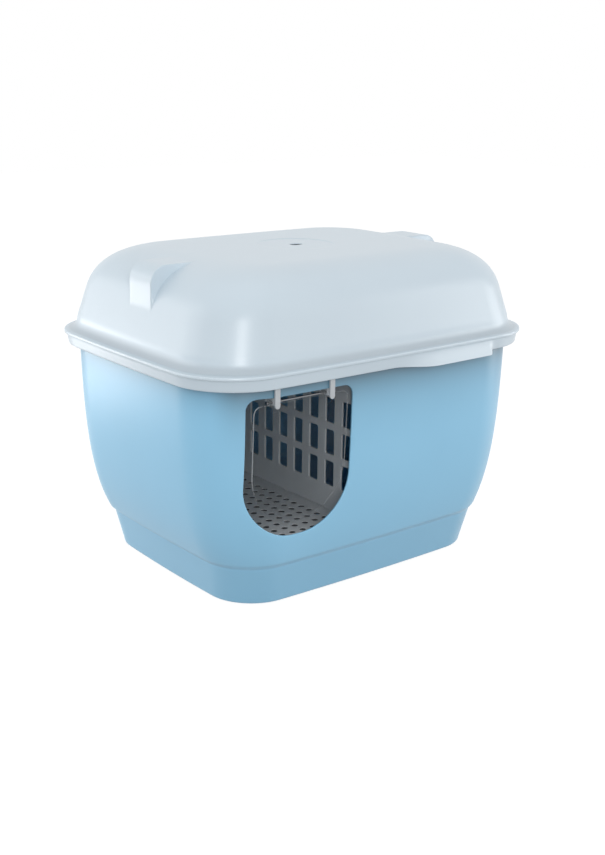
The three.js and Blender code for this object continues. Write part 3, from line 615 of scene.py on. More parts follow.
grip_ends = [end * (GRIP_HALF - d) + GRIP_STAGGER
             for end in (-1, 1) for d in (-3, -1.4, -0.4, 0, 0.2, 0.6, 1.2, 1.9, 2.5, 4)]
side_fixed = sorted({round(v, 2) for v in [
    *grip_ends, *np.arange(-9, 40, 4.0), *np.arange(-66, -18, 6.0), *np.arange(46, 70, 6.0)]})
front_fixed = sorted({*np.arange(-184, -8, 8.8), *np.arange(-8, 74, 4.0), *np.arange(80, 170, 7.5),
                      *np.arange(171, 186, 1.2), 187.0})
HOOD_SIDES = [Stops(side_fixed, 8), Stops(front_fixed, 3), Stops(side_fixed, 8), Stops(front_fixed, 3)]


def ramp(t):
    """0 up to 0 and 1 from 1 on, with a smooth step between them."""
    t = np.clip(t, 0, 1)
    return t * t * (3 - 2 * t)


def lip_share(x, y):
    """How much of a finger lip there is at each place round the skirt: one at the front right, and the
    same one turned half round at the back left."""
    along = np.where(y < 0, x, -x)
    rising = ramp((along - LIP_START) / (LIP_FULL - LIP_START))
    return rising * ramp((LIP_END - along) / (LIP_END - LIP_LAST))


def hood_rings(rows):
    """Rings for triples of draw-in, height and share of the lips' shape."""
    drawn, z, lip = (v[:, None] for v in np.array(rows, float).T)
    half_width, half_depth = HOOD_HALF_WIDTH - drawn, HOOD_HALF_DEPTH - DEPTH_SHARE * drawn
    corner = HOOD_CORNER - CORNER_SHARE * drawn
    grid = lay_rings(half_width[:, 0], half_depth[:, 0], corner[:, 0], z[:, 0], HOOD_SIDES)
    x, y = grid[..., 0], grid[..., 1]
    share = lip * lip_share(x, y)
    grid[..., 1] += np.sign(y) * LIP_FLARE * share
    grid[..., 2] -= LIP_DROP * share
    return grid


def leaning_wall(wall, shares):
    """Rows up the straight, leaning part of the hood, from its foot to its head."""
    (foot, low), (head, high) = WALL_FOOT, WALL_HEAD
    return [(foot + wall + (head - foot) * f, low + (high - low) * f, 0) for f in shares]


def shoulder(wall, steps):
    """The curve from the leaning wall to the edge of the crown."""
    head, high = WALL_HEAD
    p = np.array([(head + wall, high), (36.6 + wall, 412.0 - wall * 0.6),
                  (60.6 + wall * 0.3, HOOD_TOP - 2.6 - wall), (118, HOOD_TOP - 0.6 - wall)])
    t = (np.arange(steps + 1) / steps)[:, None]
    shares = [(1 - t) ** 3, 3 * (1 - t) ** 2 * t, 3 * (1 - t) * t ** 2, t ** 3]
    curve = sum(share * point for share, point in zip(shares, p))
    return [(x, z, 0) for x, z in curve]


# %% [markdown]
# ## Grips
# A grip stands out of the hood's shoulder on each side. It could be a block of its own, but the join would
# show. So the shoulder's points are pushed outwards between two close rows of stops, and the grip stays
# part of the same skin.
# %% Grips
def grip_reach(angle, wall):
    """How far a grip's section reaches from the pivot in each direction."""
    out, top = GRIP_OUT - wall - GRIP_PIVOT[0], GRIP_TOP - wall - GRIP_PIVOT[1]
    corner = GRIP_CORNER - wall
    cos, sin = np.maximum(np.cos(angle), 1e-6), np.sin(angle)
    centre = np.array([out - corner, top - corner])
    along = centre[0] * cos + centre[1] * sin
    round_reach = along + np.sqrt(np.maximum(corner ** 2 - (centre @ centre - along ** 2), 0))
    flat_side, flat_top = out / cos, top / np.maximum(sin, 1e-6)
    reach = np.where(flat_side * sin <= centre[1], flat_side, round_reach)
    return np.where((sin > 0) & (flat_top * cos <= centre[0]), flat_top, reach)


def raise_grips(grid, wall):
    """Pushes the shoulder outwards to the grips' squarer section, between their two end faces."""
    x, y, z = grid[..., 0], grid[..., 1], grid[..., 2]
    side = np.sign(x)
    off = np.abs(y - side * GRIP_STAGGER)
    half = GRIP_HALF - wall
    into = np.clip((off - half + GRIP_EDGE) / GRIP_EDGE, 0, 1)
    drop = GRIP_EDGE * (1 - np.sqrt(1 - into ** 2))
    across, up = np.abs(x) - GRIP_PIVOT[0], z - GRIP_PIVOT[1]
    distance = np.hypot(across, up)
    push = grip_reach(np.arctan2(up, across), wall) - drop - distance
    on = (off <= half + 0.01) & (across > 0) & (up > -12) & (push > 0)
    push = np.where(on, push, 0)
    grid[..., 0] += side * push * across / np.maximum(distance, 1e-6)
    grid[..., 2] += push * up / np.maximum(distance, 1e-6)
    return grid


# %% [markdown]
# ## Crown, dish and vent
# The crown is nearly flat, with a round dish pressed into it and a small oblong vent through its middle.
# The rings turn from the hood's outline into circles and then into the vent's outline, point for point, so
# nothing has to be cut.
# %% Crown, dish and vent
def vent_reach(angle, grow):
    """The vent's oblong outline, as a distance from its middle in each direction."""
    radius, straight = VENT_ROUND + grow, VENT_HALF - VENT_ROUND
    sin, cos = np.abs(np.sin(angle)), np.abs(np.cos(angle))
    to_side = radius / np.maximum(sin, 1e-6)
    to_end = straight * cos + np.sqrt(np.maximum(radius ** 2 - (straight * sin) ** 2, 0))
    return np.where(to_side * cos <= straight, to_side, to_end)


def middle_rings(edge_ring, top, circles, vents, outer_z):
    """Rings from the crown's edge in to the vent: two that turn round, then circles, then oblongs."""
    angle = np.arctan2(edge_ring[:, 1], edge_ring[:, 0])
    direction = np.stack([np.cos(angle), np.sin(angle)], axis=1)
    rounds = [(r * direction, z) for r, z in circles]
    rounds += [(vent_reach(angle, grow)[:, None] * direction, z) for grow, z in vents]
    first = rounds[0][0]
    turning = [((1 - w) * edge_ring[:, :2] + w * first, outer_z + (top - outer_z) * w)
               for w in (0.3, 0.65)]
    return np.stack([np.column_stack([xy, np.full(len(xy), z)]) for xy, z in turning + rounds])


# %% Hood mesh
fillet = [(1.5 + 14.7 * s, FLANGE_TOP + 17 * (1 - c), 0) for s, c in arc(10)][1:]
skirt = [(SKIRT_BOTTOM + f * (SKIRT_TOP - SKIRT_BOTTOM), f)
         for f in (0.07, 0.16, 0.28, 0.42, 0.58, 0.74, 0.88)]
outside = [
    (6.25, SKIRT_BOTTOM, 1), (5.6, SKIRT_BOTTOM + 0.1, 1), (5.15, SKIRT_BOTTOM + 0.5, 1),
    *[(5 - 2 * f, z, (1 - f) ** 1.6) for z, f in skirt],
    (3, SKIRT_TOP - 0.4, 0), (2.7, SKIRT_TOP, 0), (2.1, SKIRT_TOP + 0.3, 0),
    (0.9, SKIRT_TOP + 0.5, 0), (0.25, SKIRT_TOP + 0.8, 0), (0, SKIRT_TOP + 1.4, 0),
    (0, FLANGE_TOP - 1.6, 0), (0.2, FLANGE_TOP - 0.75, 0), (0.7, FLANGE_TOP - 0.2, 0), (1.5, FLANGE_TOP, 0),
    *fillet,
    *leaning_wall(0, np.arange(1, 9) / 9),
    *shoulder(0, 26), (128, HOOD_TOP - 0.45, 0), (140, HOOD_TOP - 0.3, 0)]
underside = [
    (140, HOOD_TOP - HOOD_WALL - 0.3, 0), (128, HOOD_TOP - HOOD_WALL - 0.45, 0),
    *shoulder(HOOD_WALL, 26)[::-1],
    *leaning_wall(HOOD_WALL, np.arange(8, -1, -1) / 9),
    (18.8, FLANGE_UNDER + 2, 0), (19.2, FLANGE_UNDER, 0),
    (6.4, FLANGE_UNDER, 0), (6, FLANGE_UNDER - 0.6, 0),
    *[(7.5 - 1.5 * f, z, (1 - f) ** 1.6) for z, f in skirt[::-1]],
    (7.35, SKIRT_BOTTOM + 0.5, 1), (6.9, SKIRT_BOTTOM + 0.1, 1)]
outside_grid = raise_grips(hood_rings(outside), 0)
underside_grid = raise_grips(hood_rings(underside), HOOD_WALL)
floor_of_dish = HOOD_TOP - DISH_DEPTH
under_dish = HOOD_TOP - HOOD_WALL
top_middle = middle_rings(
    outside_grid[-1], HOOD_TOP,
    [(59, HOOD_TOP), (DISH_RADIUS + 0.6, HOOD_TOP), (DISH_RADIUS - 0.1, HOOD_TOP - 0.12),
     (DISH_RADIUS - 0.7, HOOD_TOP - 0.4), (DISH_RADIUS - 1.3, floor_of_dish + 0.12),
     (DISH_RADIUS - 2, floor_of_dish), (44, floor_of_dish), (30, floor_of_dish), (18, floor_of_dish)],
    [(1.2, floor_of_dish), (0.5, floor_of_dish - 0.15), (0.1, floor_of_dish - 0.5),
     (0, floor_of_dish - 0.9)], HOOD_TOP - 0.3)
under_middle = middle_rings(
    underside_grid[0], under_dish, [(59, under_dish), (44, under_dish), (30, under_dish), (18, under_dish)],
    [(1, under_dish), (0, under_dish + 0.4)], under_dish - 0.3)[::-1]
hood_grid = np.concatenate([outside_grid, top_middle, under_middle, underside_grid, outside_grid[:1]])
hood = new_piece("hood", hood_grid.reshape(-1, 3), quads(len(hood_grid), hood_grid.shape[1]))

# %% [markdown]
# ## Materials
# Every part but the rod is injection moulded. Such a surface is never quite even: it has a fine grain from
# the mould, slow ripples where the plastic shrank, and thin scuffs from use. The same small helpers add
# these to each material, and only their strength and scale change.
# %% Material helpers
def srgb(red, green, blue):
    """A colour given in 0 to 255 steps, as the linear values that shaders use."""
    return tuple(
        v / 12.92 if v <= 0.04045 else ((v + 0.055) / 1.055) ** 2.4
        for v in (red / 255, green / 255, blue / 255)) + (1.0,)


def new_material(name):
    material = bpy.data.materials.new(name)
    material.use_nodes = True
    material.node_tree.nodes.clear()
    return material, Nodes(material.node_tree)


def position(nodes):
    """The place on the piece. Its X, Y and Z are outputs."""
    place = nodes.make("ShaderNodeTexCoord").out("Object")
    return nodes.make("ShaderNodeSeparateXYZ", {}, {0: place})


def noise(nodes, scale, detail=2.0, stretch=(1, 1, 1)):
    """Noise from 0 to 1 with a scale in cells to the metre."""
    place = nodes.make("ShaderNodeTexCoord").out("Object")
    place = nodes.make("ShaderNodeMapping", {}, {"Vector": place, "Scale": stretch})
    return nodes.make("ShaderNodeTexNoise", {}, {"Vector": place, "Scale": scale, "Detail": detail})


def blend(nodes, share, first, second):
    """A colour between two others."""
    mix = nodes.make("ShaderNodeMix", {"data_type": "RGBA"}, {0: share, 6: first, 7: second})
    return Wire(nodes, mix.socket.node.outputs[2])


def ramp_of(nodes, value, low, high):
    """0 below one value and 1 above another, with a smooth step between them."""
    return nodes.make("ShaderNodeMapRange", {"interpolation_type": "SMOOTHSTEP"},
                      {"Value": value, "From Min": low, "From Max": high})


def finish_material(material, nodes, height, bump_distance, sockets):
    """A Principled shader with a bump, joined to the output."""
    normal = nodes.make("ShaderNodeBump", {}, {
        "Height": height, "Strength": 1.0, "Distance": bump_distance})
    surface = nodes.make("ShaderNodeBsdfPrincipled", {}, {"Normal": normal, **sockets})
    nodes.make("ShaderNodeOutputMaterial", {}, {"Surface": surface})
    return material


# %% [markdown]
# ## Shade in the corners
# The even light of this scene leaves corners paler than they look in a room. So a darker tone is painted in
# the crease over the flange, on the tub under the hood's skirt and on the walls of the deck's holes. It is
# a stand-in for shade: it stays on the tub when the hood is lifted, and is left out for use under a light
# of one's own by giving no `shade`. All three lie at known heights, so steps on the height are enough.
# %% Shade
def between(nodes, low, low_full, high_full, high):
    """1 between two heights in millimetres and 0 outside them, with a smooth step at both ends."""
    z = position(nodes).out("Z")
    over, under = ramp_of(nodes, z, low * MM, low_full * MM), ramp_of(nodes, z, high_full * MM, high * MM)
    return over * (1 - under)


def hood_crease_shade(nodes):
    """Painted shade along the crease where the hood's wall meets its flange."""
    return between(nodes, FLANGE_TOP - 0.6, FLANGE_TOP + 1.5, FLANGE_TOP + 4, FLANGE_TOP + 15) * 0.3


NEAR_SHADE, WIDE_SHADE = 70, 115
FRONT_STARTS, FRONT_FULL = 160, 190


def rim_shade(nodes):
    """Painted shade on the tub, strongest just under the hood's skirt, and a little on the base."""
    spot = position(nodes)
    z = spot.out("Z")
    front = ramp_of(nodes, -1.0 * spot.out("Y"), FRONT_STARTS * MM, FRONT_FULL * MM)
    near, wide = [
        nodes.make("ShaderNodeMapRange", {}, {
            "Value": z, "From Min": (SKIRT_BOTTOM - reach) * MM, "From Max": SKIRT_BOTTOM * MM})
        for reach in (NEAR_SHADE, WIDE_SHADE)]
    base = 1 - ramp_of(nodes, z, (STEP_LOW - 6) * MM, STEP_LOW * MM)
    seen = 1 - ramp_of(nodes, z, (SKIRT_BOTTOM + 0.5) * MM, (SKIRT_BOTTOM + 5) * MM)
    return (near * near * near * 0.46 + wide * wide * front * 0.45) * seen + base * 0.1


def hole_shade(nodes):
    """Painted shade on the walls of the deck's holes, below its upper face."""
    top = node_box("walkway_deck")[1][2]
    return between(nodes, top - 3.2, top - 2.9, top - 0.7, top - 0.35) * 0.9


# %% [markdown]
# ## Plastics
# The tub is light blue and glossy, the hood white with a hint of blue, and the walkway a duller grey. One
# function mixes them all, and takes the colour, the roughness and how much the grain shows.
# %% Plastics
def moulded(name, colour, pale, rough, grain, sheen=0.5, shade=None):
    """A moulded plastic: slow tone changes, fine grain, thin scuffs and paler, polished edges."""
    material, nodes = new_material(name)
    slow = noise(nodes, 9, 3)
    fine = noise(nodes, 900, 2)
    scuffs = ramp_of(nodes, noise(nodes, 55, 5, (1, 1, 9)), 0.62, 0.72)
    edge = ramp_of(nodes, nodes.make("ShaderNodeNewGeometry").out("Pointiness"), 0.515, 0.56)
    tone = blend(nodes, slow, srgb(*colour), srgb(*pale))
    tone = blend(nodes, edge * 0.35 + scuffs * 0.03, tone, srgb(*(min(255, c + 14) for c in pale)))
    # Painted shade: where a shade mask is given, the tone goes towards 45 % of the colour.
    if shade:
        tone = blend(nodes, shade(nodes), tone, srgb(*(c * 0.45 for c in colour)))
    roughness = slow * 0.08 + fine * 0.06 + scuffs * 0.04 + rough - edge * 0.08
    return finish_material(material, nodes, fine * grain + slow * 0.6, 0.0004, {
        "Base Color": tone, "Roughness": roughness, "Specular IOR Level": sheen, "IOR": 1.49})


tub_plastic = moulded("tub_plastic", (142, 204, 238), (151, 211, 244), 0.27, 0.08, 0.9, rim_shade)
hood_plastic = moulded("hood_plastic", (205, 220, 231), (211, 226, 236), 0.26, 0.08, 0.9, hood_crease_shade)
walkway_plastic = moulded("walkway_plastic", (177, 181, 184), (189, 193, 196), 0.42, 0.3, 0.5, hole_shade)
hanger_plastic = moulded("hanger_plastic", (182, 188, 193), (194, 199, 203), 0.3, 0.1)
plastics = [tub_plastic, hood_plastic, walkway_plastic, hanger_plastic]
print("plastics:", ", ".join(f"{m.name} of {len(m.node_tree.nodes)} nodes" for m in plastics))

# %% [markdown]
# ## Clear flap and steel rod
# A clear sheet shows mostly at its edges, where light gathers. So the flap has two materials: one for its
# faces that is hardly there, and a paler one for its edges, a painted highlight for that gathered light
# that is strongest at the upper sides. The rod is drawn steel, with fine lines along it.
# %% Clear flap and steel rod
EDGE_SIDE, EDGE_RISE, EDGE_TOP = (60, 70), (150, 200), (279, 281.5)


def step_over(nodes, value, limits):
    low, high = limits
    return ramp_of(nodes, value, low * MM, high * MM)


material, nodes = new_material("flap_plastic")
haze = ramp_of(nodes, noise(nodes, 40, 4, (1, 1, 6)), 0.55, 0.8)
flap_plastic = finish_material(material, nodes, noise(nodes, 25, 2), 0.0001, {
    "Base Color": blend(nodes, haze, srgb(24, 26, 29), srgb(70, 73, 76)), "Roughness": haze * 0.2 + 0.08,
    "Alpha": haze * 0.04 + 0.05, "IOR": 1.45})
# Painted highlight: the edges' pale colour and stronger alpha, most at the upper sides, stand in for light
# gathered in the sheet.
material, nodes = new_material("flap_edge_highlight")
ground = noise(nodes, 1500, 2)
spot = position(nodes)
aside = spot.math("ABSOLUTE", spot.out("X") - DOOR_MIDDLE * MM)
side = step_over(nodes, aside, EDGE_SIDE) * step_over(nodes, spot.out("Z"), EDGE_RISE)
upper = step_over(nodes, spot.out("Z"), EDGE_TOP)
flap_edge_highlight = finish_material(material, nodes, ground, 0.00005, {
    "Base Color": blend(nodes, ground, srgb(150, 154, 157), srgb(196, 199, 201)),
    "Roughness": ground * 0.15 + 0.3, "Alpha": side * 0.55 + upper * 0.15 + 0.2, "IOR": 1.45})
material, nodes = new_material("rod_steel")
drawn = noise(nodes, 2500, 2, (0.02, 1, 1))
rod_steel = finish_material(material, nodes, drawn, 0.00002, {
    "Base Color": blend(nodes, drawn, srgb(112, 114, 117), srgb(150, 152, 155)), "Metallic": 1.0,
    "Roughness": drawn * 0.15 + 0.22})
print("flap and rod:", flap_plastic.name, flap_edge_highlight.name, rod_steel.name)

# %% [markdown]
# ## Sheets with rounded edges
# The flap, the deck and the partition are flat sheets a few millimetres thick. Each is drawn as closed
# loops in its own plane: one round the outside and one round each opening. The loops are drawn in a
# little near both faces, which rounds every edge as a mould does, and a triangulation closes the faces.
# %% Sheet helper
def draw_in(loop, by):
    """A closed loop moved to its left, into the sheet for an outer loop that runs counter-clockwise."""
    def normal(a, b):
        step = b - a
        return np.stack([-step[:, 1], step[:, 0]], axis=1) / np.linalg.norm(step, axis=1, keepdims=True)
    before, after = normal(np.roll(loop, 1, axis=0), loop), normal(loop, np.roll(loop, -1, axis=0))
    return loop + by * (before + after) / (1 + (before * after).sum(axis=1, keepdims=True))


def sheet(name, loops, thickness, place, edge=0.5, steps=3):
    """A sheet of constant thickness. `place` turns arrays of across, along and depth into x, y, z."""
    rows = [(edge * (1 - s), edge * (1 - c)) for s, c in arc(steps)]
    rows += [(inset, thickness - depth) for inset, depth in rows[::-1]]
    points, faces, near, far = [], [], [], []
    count = 0
    for loop in loops:
        size = len(loop)
        for inset, depth in rows:
            flat = draw_in(loop, inset)
            points.append(place(flat[:, 0], flat[:, 1], np.full(size, depth)))
        faces += quads(len(rows), size, count).tolist()
        near.append(count + np.arange(size))
        far.append(count + (len(rows) - 1) * size + np.arange(size))
        count += len(rows) * size
    flat = [draw_in(loop, edge) for loop in loops]
    starts = np.cumsum([0] + [len(loop) for loop in flat])
    wires = [(int(start + i), int(start + (i + 1) % len(loop)))
             for start, loop in zip(starts, flat) for i in range(len(loop))]
    corners = [Vector(p) for p in np.concatenate(flat)]
    found = delaunay_2d_cdt(corners, wires, [], 0, 1e-7)
    spots, triangles = found[0], found[2]
    middles = np.array([np.mean([spots[i] for i in t], axis=0) for t in triangles])
    solid = inside(middles, flat[0])
    for hole in flat[1:]:
        solid &= ~inside(middles, hole)
    near, far = np.concatenate(near), np.concatenate(far)
    for triangle, keep in zip(triangles, solid):
        if keep:
            faces += [near[list(triangle)].tolist(), far[list(triangle)].tolist()]
    return new_piece(name, np.concatenate(points), faces)


def even_normals(obj):
    """Lets the large flat faces decide the shading, so that only the rounded edges look round."""
    modifier = obj.modifiers.new("even normals", "WEIGHTED_NORMAL")
    modifier.keep_sharp = True
    apply_modifiers(obj)


# %% [markdown]
# ## The flap
# The flap is a clear sheet that hangs just inside the doorway. Its outline is a rectangle over a half
# disc, with a notch for each hanger, and four small ears carry it on the rod. It leans as the wall does.
# %% Flap
FLAP_HALF, FLAP_HEIGHT, FLAP_THICKNESS = 74.4, 164.0, 2.2
FLAP_TOP = DOOR_TOP - 8
FLAP_SET_BACK = 3.5
FLAP_NOTCH_HALF, FLAP_NOTCH_DEPTH, FLAP_NOTCH_ROUND = 4.8, 12.5, 1.5
FLAP_TOP_CORNER, FLAP_ARC_STEPS = 10, (32, 32, 8, 8)
EAR_RADIUS, EAR_WIDTH, BORE_RADIUS = 3.6, 4.0, 1.8
rod_low, rod_high = node_box("flap_hinge_rod")
ROD_Y, ROD_Z = (rod_low[1:] + rod_high[1:]) / 2


def front_y(x, z):
    """Where the front wall's outer face lies, at one place along it."""
    half_width, half_depth, _ = tub_section(z)
    return -(half_depth - SIDE_BOW * (x / half_width) ** 2)


flap_y = front_y(DOOR_MIDDLE, FLAP_TOP) + FLAP_SET_BACK
flap_lean = math.atan((front_y(DOOR_MIDDLE, FLAP_TOP - FLAP_HEIGHT) - front_y(DOOR_MIDDLE, FLAP_TOP))
                      / FLAP_HEIGHT)
outline = rounded_outline(
    DOOR_MIDDLE - FLAP_HALF, -FLAP_HEIGHT, DOOR_MIDDLE + FLAP_HALF, 0,
    (FLAP_HALF - 0.05, FLAP_HALF - 0.05, FLAP_TOP_CORNER, FLAP_TOP_CORNER), FLAP_ARC_STEPS, 400)
notches = []
for x in HANGER_PLACES[::-1]:
    right, left, low, r = x + FLAP_NOTCH_HALF, x - FLAP_NOTCH_HALF, -FLAP_NOTCH_DEPTH, FLAP_NOTCH_ROUND
    notches += [(right, 0)] + [(right - r * (1 - c), low + r * (1 - s)) for s, c in arc(4)]
    notches += [(left + r * (1 - s), low + r * (1 - c)) for s, c in arc(4)] + [(left, 0)]
top_right = sum(steps + 1 for steps in FLAP_ARC_STEPS[:3])
outline = np.concatenate([outline[:top_right], notches, outline[top_right:]])


def on_flap(across, along, depth):
    """Places on the leaning flap. The way along is up from its top edge."""
    depth = depth - FLAP_THICKNESS / 2
    return np.stack([across, flap_y + depth * math.cos(flap_lean) - along * math.sin(flap_lean),
                     FLAP_TOP + depth * math.sin(flap_lean) + along * math.cos(flap_lean)], axis=-1)


flap = sheet("flap", [outline], FLAP_THICKNESS, on_flap, 0.4)

# %% Ears
ear = [(flap_y, ROD_Z - EAR_RADIUS)]
ear += [(ROD_Y + EAR_RADIUS * s, ROD_Z - EAR_RADIUS * c) for s, c in arc(20, 0, 180)]
ear += [(flap_y, ROD_Z + EAR_RADIUS)]
bore = [(ROD_Y + BORE_RADIUS * s, ROD_Z + BORE_RADIUS * c) for s, c in arc(28, 0, 360)[:-1]]
ears = []
for x in HANGER_PLACES:
    for side in (-1, 1):
        left = x + side * (FLAP_NOTCH_HALF + EAR_WIDTH / 2) - EAR_WIDTH / 2
        ears.append(sheet("ear", [np.array(ear), np.array(bore)], EAR_WIDTH,
                          lambda y, z, depth: np.stack([left + depth, y, z], axis=-1), 0.35))
cut(flap, ears, "UNION")
tidy_mesh(flap)
even_normals(flap)

# %% [markdown]
# ## The rod
# A thin steel rod with a turned head at each end. A profile spun round the rod's axis makes it, and the
# points on the axis close both ends.
# %% Rod
ROD_RADIUS, HEAD_RADIUS, HEAD_LENGTH = 1.5, 2.5, 1.0


def spun(name, profile, steps, place):
    """A closed solid of revolution from pairs of distance along the axis and radius."""
    along, radius = np.array(profile, float).T
    angle = np.arange(steps) / steps * 2 * math.pi
    rings = np.stack([np.outer(radius, np.cos(angle)), np.outer(radius, np.sin(angle)),
                      along[:, None] * np.ones(steps)], axis=2)
    count = len(profile) * steps
    points = np.concatenate([rings.reshape(-1, 3), [(0, 0, along[0]), (0, 0, along[-1])]])
    faces = quads(len(profile), steps).tolist()
    for i in range(steps):
        faces += [[count, (i + 1) % steps, i],
                  [count + 1, count - steps + i, count - steps + (i + 1) % steps]]
    return new_piece(name, place(points), faces)


left, right = rod_low[0], rod_high[0]
head = [(0, HEAD_RADIUS - 0.4), (0.12, HEAD_RADIUS - 0.12), (0.4, HEAD_RADIUS),
        (HEAD_LENGTH - 0.15, HEAD_RADIUS), (HEAD_LENGTH, HEAD_RADIUS - 0.15),
        (HEAD_LENGTH, ROD_RADIUS + 0.2), (HEAD_LENGTH + 0.2, ROD_RADIUS)]
profile = [(left + along, radius) for along, radius in head]
profile += [(right - along, radius) for along, radius in head[::-1]]
rod = spun("rod", profile, 32, lambda p: np.stack([p[:, 2], ROD_Y + p[:, 0], ROD_Z + p[:, 1]], axis=1))

# %% [markdown]
# ## The hangers
# Each hanger is a small moulded hook: a leg in front of the wall, a saddle over the rim, a leg behind and
# an arm that reaches back out to the rod. The solid model already has that shape with sharp edges. So its
# mesh is copied and welded, its flat triangles are joined, and a bevel rounds the edges.
# %% Hangers
def softened(node, width, segments=3):
    """A copy of a node's solid with rounded edges."""
    piece = bpy.data.objects.new(node + "_soft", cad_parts[node].data.copy())
    bpy.context.scene.collection.objects.link(piece)
    bm = bmesh.new()
    bm.from_mesh(piece.data)
    bmesh.ops.remove_doubles(bm, verts=bm.verts, dist=1e-5)
    bmesh.ops.dissolve_limit(bm, angle_limit=math.radians(1), verts=bm.verts, edges=bm.edges)
    bm.to_mesh(piece.data)
    bm.free()
    bevel = piece.modifiers.new("bevel", "BEVEL")
    bevel.width, bevel.segments, bevel.limit_method = width * MM, segments, "ANGLE"
    bevel.angle_limit = math.radians(40)
    apply_modifiers(piece)
    tidy_mesh(piece)
    even_normals(piece)
    return piece


hangers = [softened(f"flap_hanger_{side}", 0.5) for side in ("left", "right")]

# %% [markdown]
# ## Holes and slots on a grid
# The deck has rows of round holes that let litter fall back into the tub, and the partition has rows of
# upright slots. Both are one shape repeated on a grid, so one Geometry Nodes tree serves both: it lays out
# points by their index, drops those past a rounded corner, puts a cutter on each that is left, and takes
# all the cutters away from the sheet at once. The cutter is wider at its ends, which eases the edges.
# %% Perforating tree
def perforator():
    tree = bpy.data.node_groups.new("perforate", "GeometryNodeTree")
    face = tree.interface
    wanted = [("Sheet", "Geometry"), ("Cutter", "Object"), ("Material", "Material"), ("Origin", "Vector"),
              ("Step A", "Vector"), ("Step B", "Vector"), ("Count A", "Int"), ("Count B", "Int"),
              ("Corner X", "Float"), ("Corner Y", "Float"), ("Corner Reach", "Float")]
    for name, kind in wanted:
        face.new_socket(name=name, in_out="INPUT", socket_type=f"NodeSocket{kind}")
    face.new_socket(name="Geometry", in_out="OUTPUT", socket_type="NodeSocketGeometry")
    nodes = Nodes(tree)
    given = nodes.make("NodeGroupInput")
    index = nodes.make("GeometryNodeInputIndex")
    count_a = given.out("Count A")
    row = index.math("FLOOR", index / count_a)
    column = index - row * count_a
    shift_a, shift_b = [
        nodes.make("ShaderNodeVectorMath", {"operation": "SCALE"}, {0: given.out(step), "Scale": times})
        for step, times in (("Step A", column), ("Step B", row))]
    shift = nodes.make("ShaderNodeVectorMath", {"operation": "ADD"}, {0: shift_a, 1: shift_b})
    place = nodes.make("ShaderNodeVectorMath", {"operation": "ADD"}, {0: shift, 1: given.out("Origin")})
    points = nodes.make("GeometryNodePoints", {}, {
        "Count": count_a * given.out("Count B"), "Position": place, "Radius": MM})
    apart = nodes.make("ShaderNodeSeparateXYZ", {}, {0: nodes.make("GeometryNodeInputPosition")})
    past_x = apart.math("MAXIMUM", apart.math("ABSOLUTE", apart.out("X")) - given.out("Corner X"), 0.0)
    past_y = apart.math("MAXIMUM", -1.0 * apart.out("Y") - given.out("Corner Y"), 0.0)
    outside = apart.math("SQRT", past_x * past_x + past_y * past_y) > given.out("Corner Reach")
    kept = nodes.make("GeometryNodeDeleteGeometry", {"domain": "POINT"},
                      {"Geometry": points, "Selection": outside})
    cutter = nodes.make("GeometryNodeObjectInfo", {}, {"Object": given.out("Cutter")}).out("Geometry")
    copies = nodes.make("GeometryNodeInstanceOnPoints", {}, {"Points": kept, "Instance": cutter})
    cutters = nodes.make("GeometryNodeRealizeInstances", {}, {"Geometry": copies})
    holed = nodes.make("GeometryNodeMeshBoolean", {"operation": "DIFFERENCE", "solver": "EXACT"},
                       {"Mesh 1": given.out("Sheet"), "Mesh 2": cutters})
    plain = nodes.make("GeometryNodeRealizeInstances", {}, {"Geometry": holed})
    done = nodes.make("GeometryNodeSetMaterial", {}, {"Geometry": plain, "Material": given.out("Material")})
    nodes.make("NodeGroupOutput", {}, {"Geometry": done})
    return tree


perforate_tree = perforator()


def perforate(obj, cutter, material, **values):
    """Runs the tree on an object and leaves a plain mesh. Sizes are in millimetres."""
    modifier = obj.modifiers.new("perforate", "NODES")
    modifier.node_group = perforate_tree
    sockets = {item.name: item.identifier for item in perforate_tree.interface.items_tree
               if item.in_out == "INPUT"}
    values = {name.replace("_", " ").title(): value for name, value in values.items()}
    for name, value in values.items():
        if not isinstance(value, int):
            value = [v * MM for v in value] if isinstance(value, tuple) else value * MM
        modifier[sockets[name]] = value
    modifier[sockets["Cutter"]] = cutter
    modifier[sockets["Material"]] = material
    apply_modifiers(obj)
    bpy.data.objects.remove(cutter)
    tidy_mesh(obj)
    even_normals(obj)

# %% [markdown]
# ## The walkway's deck
# The deck follows the tub's inner wall round the front left corner at a small gap, and a stand of three
# thin panels under it reaches down to the tub's floor. Three sockets take the partition's tabs.
# %% Deck
DECK_TOP = node_box("walkway_deck")[1][2]
DECK_RIGHT, DECK_BACK = node_box("walkway_deck")[1][:2]
DECK_THICKNESS, DECK_GAP = 3.0, 1.6
PARTITION_LOW, PARTITION_HIGH = node_box("slotted_partition")
PARTITION_LEFT, PARTITION_RIGHT = PARTITION_LOW[0], PARTITION_HIGH[0]
PANEL = 2.5
STAND_INSET = 29.5
STAND_SET_BACK = 74
STAND_FRONT = node_box("walkway_deck")[0][1] + STAND_SET_BACK
FIRST_TAB, TAB_PITCH, TAB_COUNT = 46, 90, 3
TAB_PLACES = [DECK_BACK - FIRST_TAB - TAB_PITCH * i for i in range(TAB_COUNT)]
TAB_HALF, SEAT_GAP = 10.0, 0.4
section = tub_section(DECK_TOP - DECK_THICKNESS) - TUB_WALL - DECK_GAP


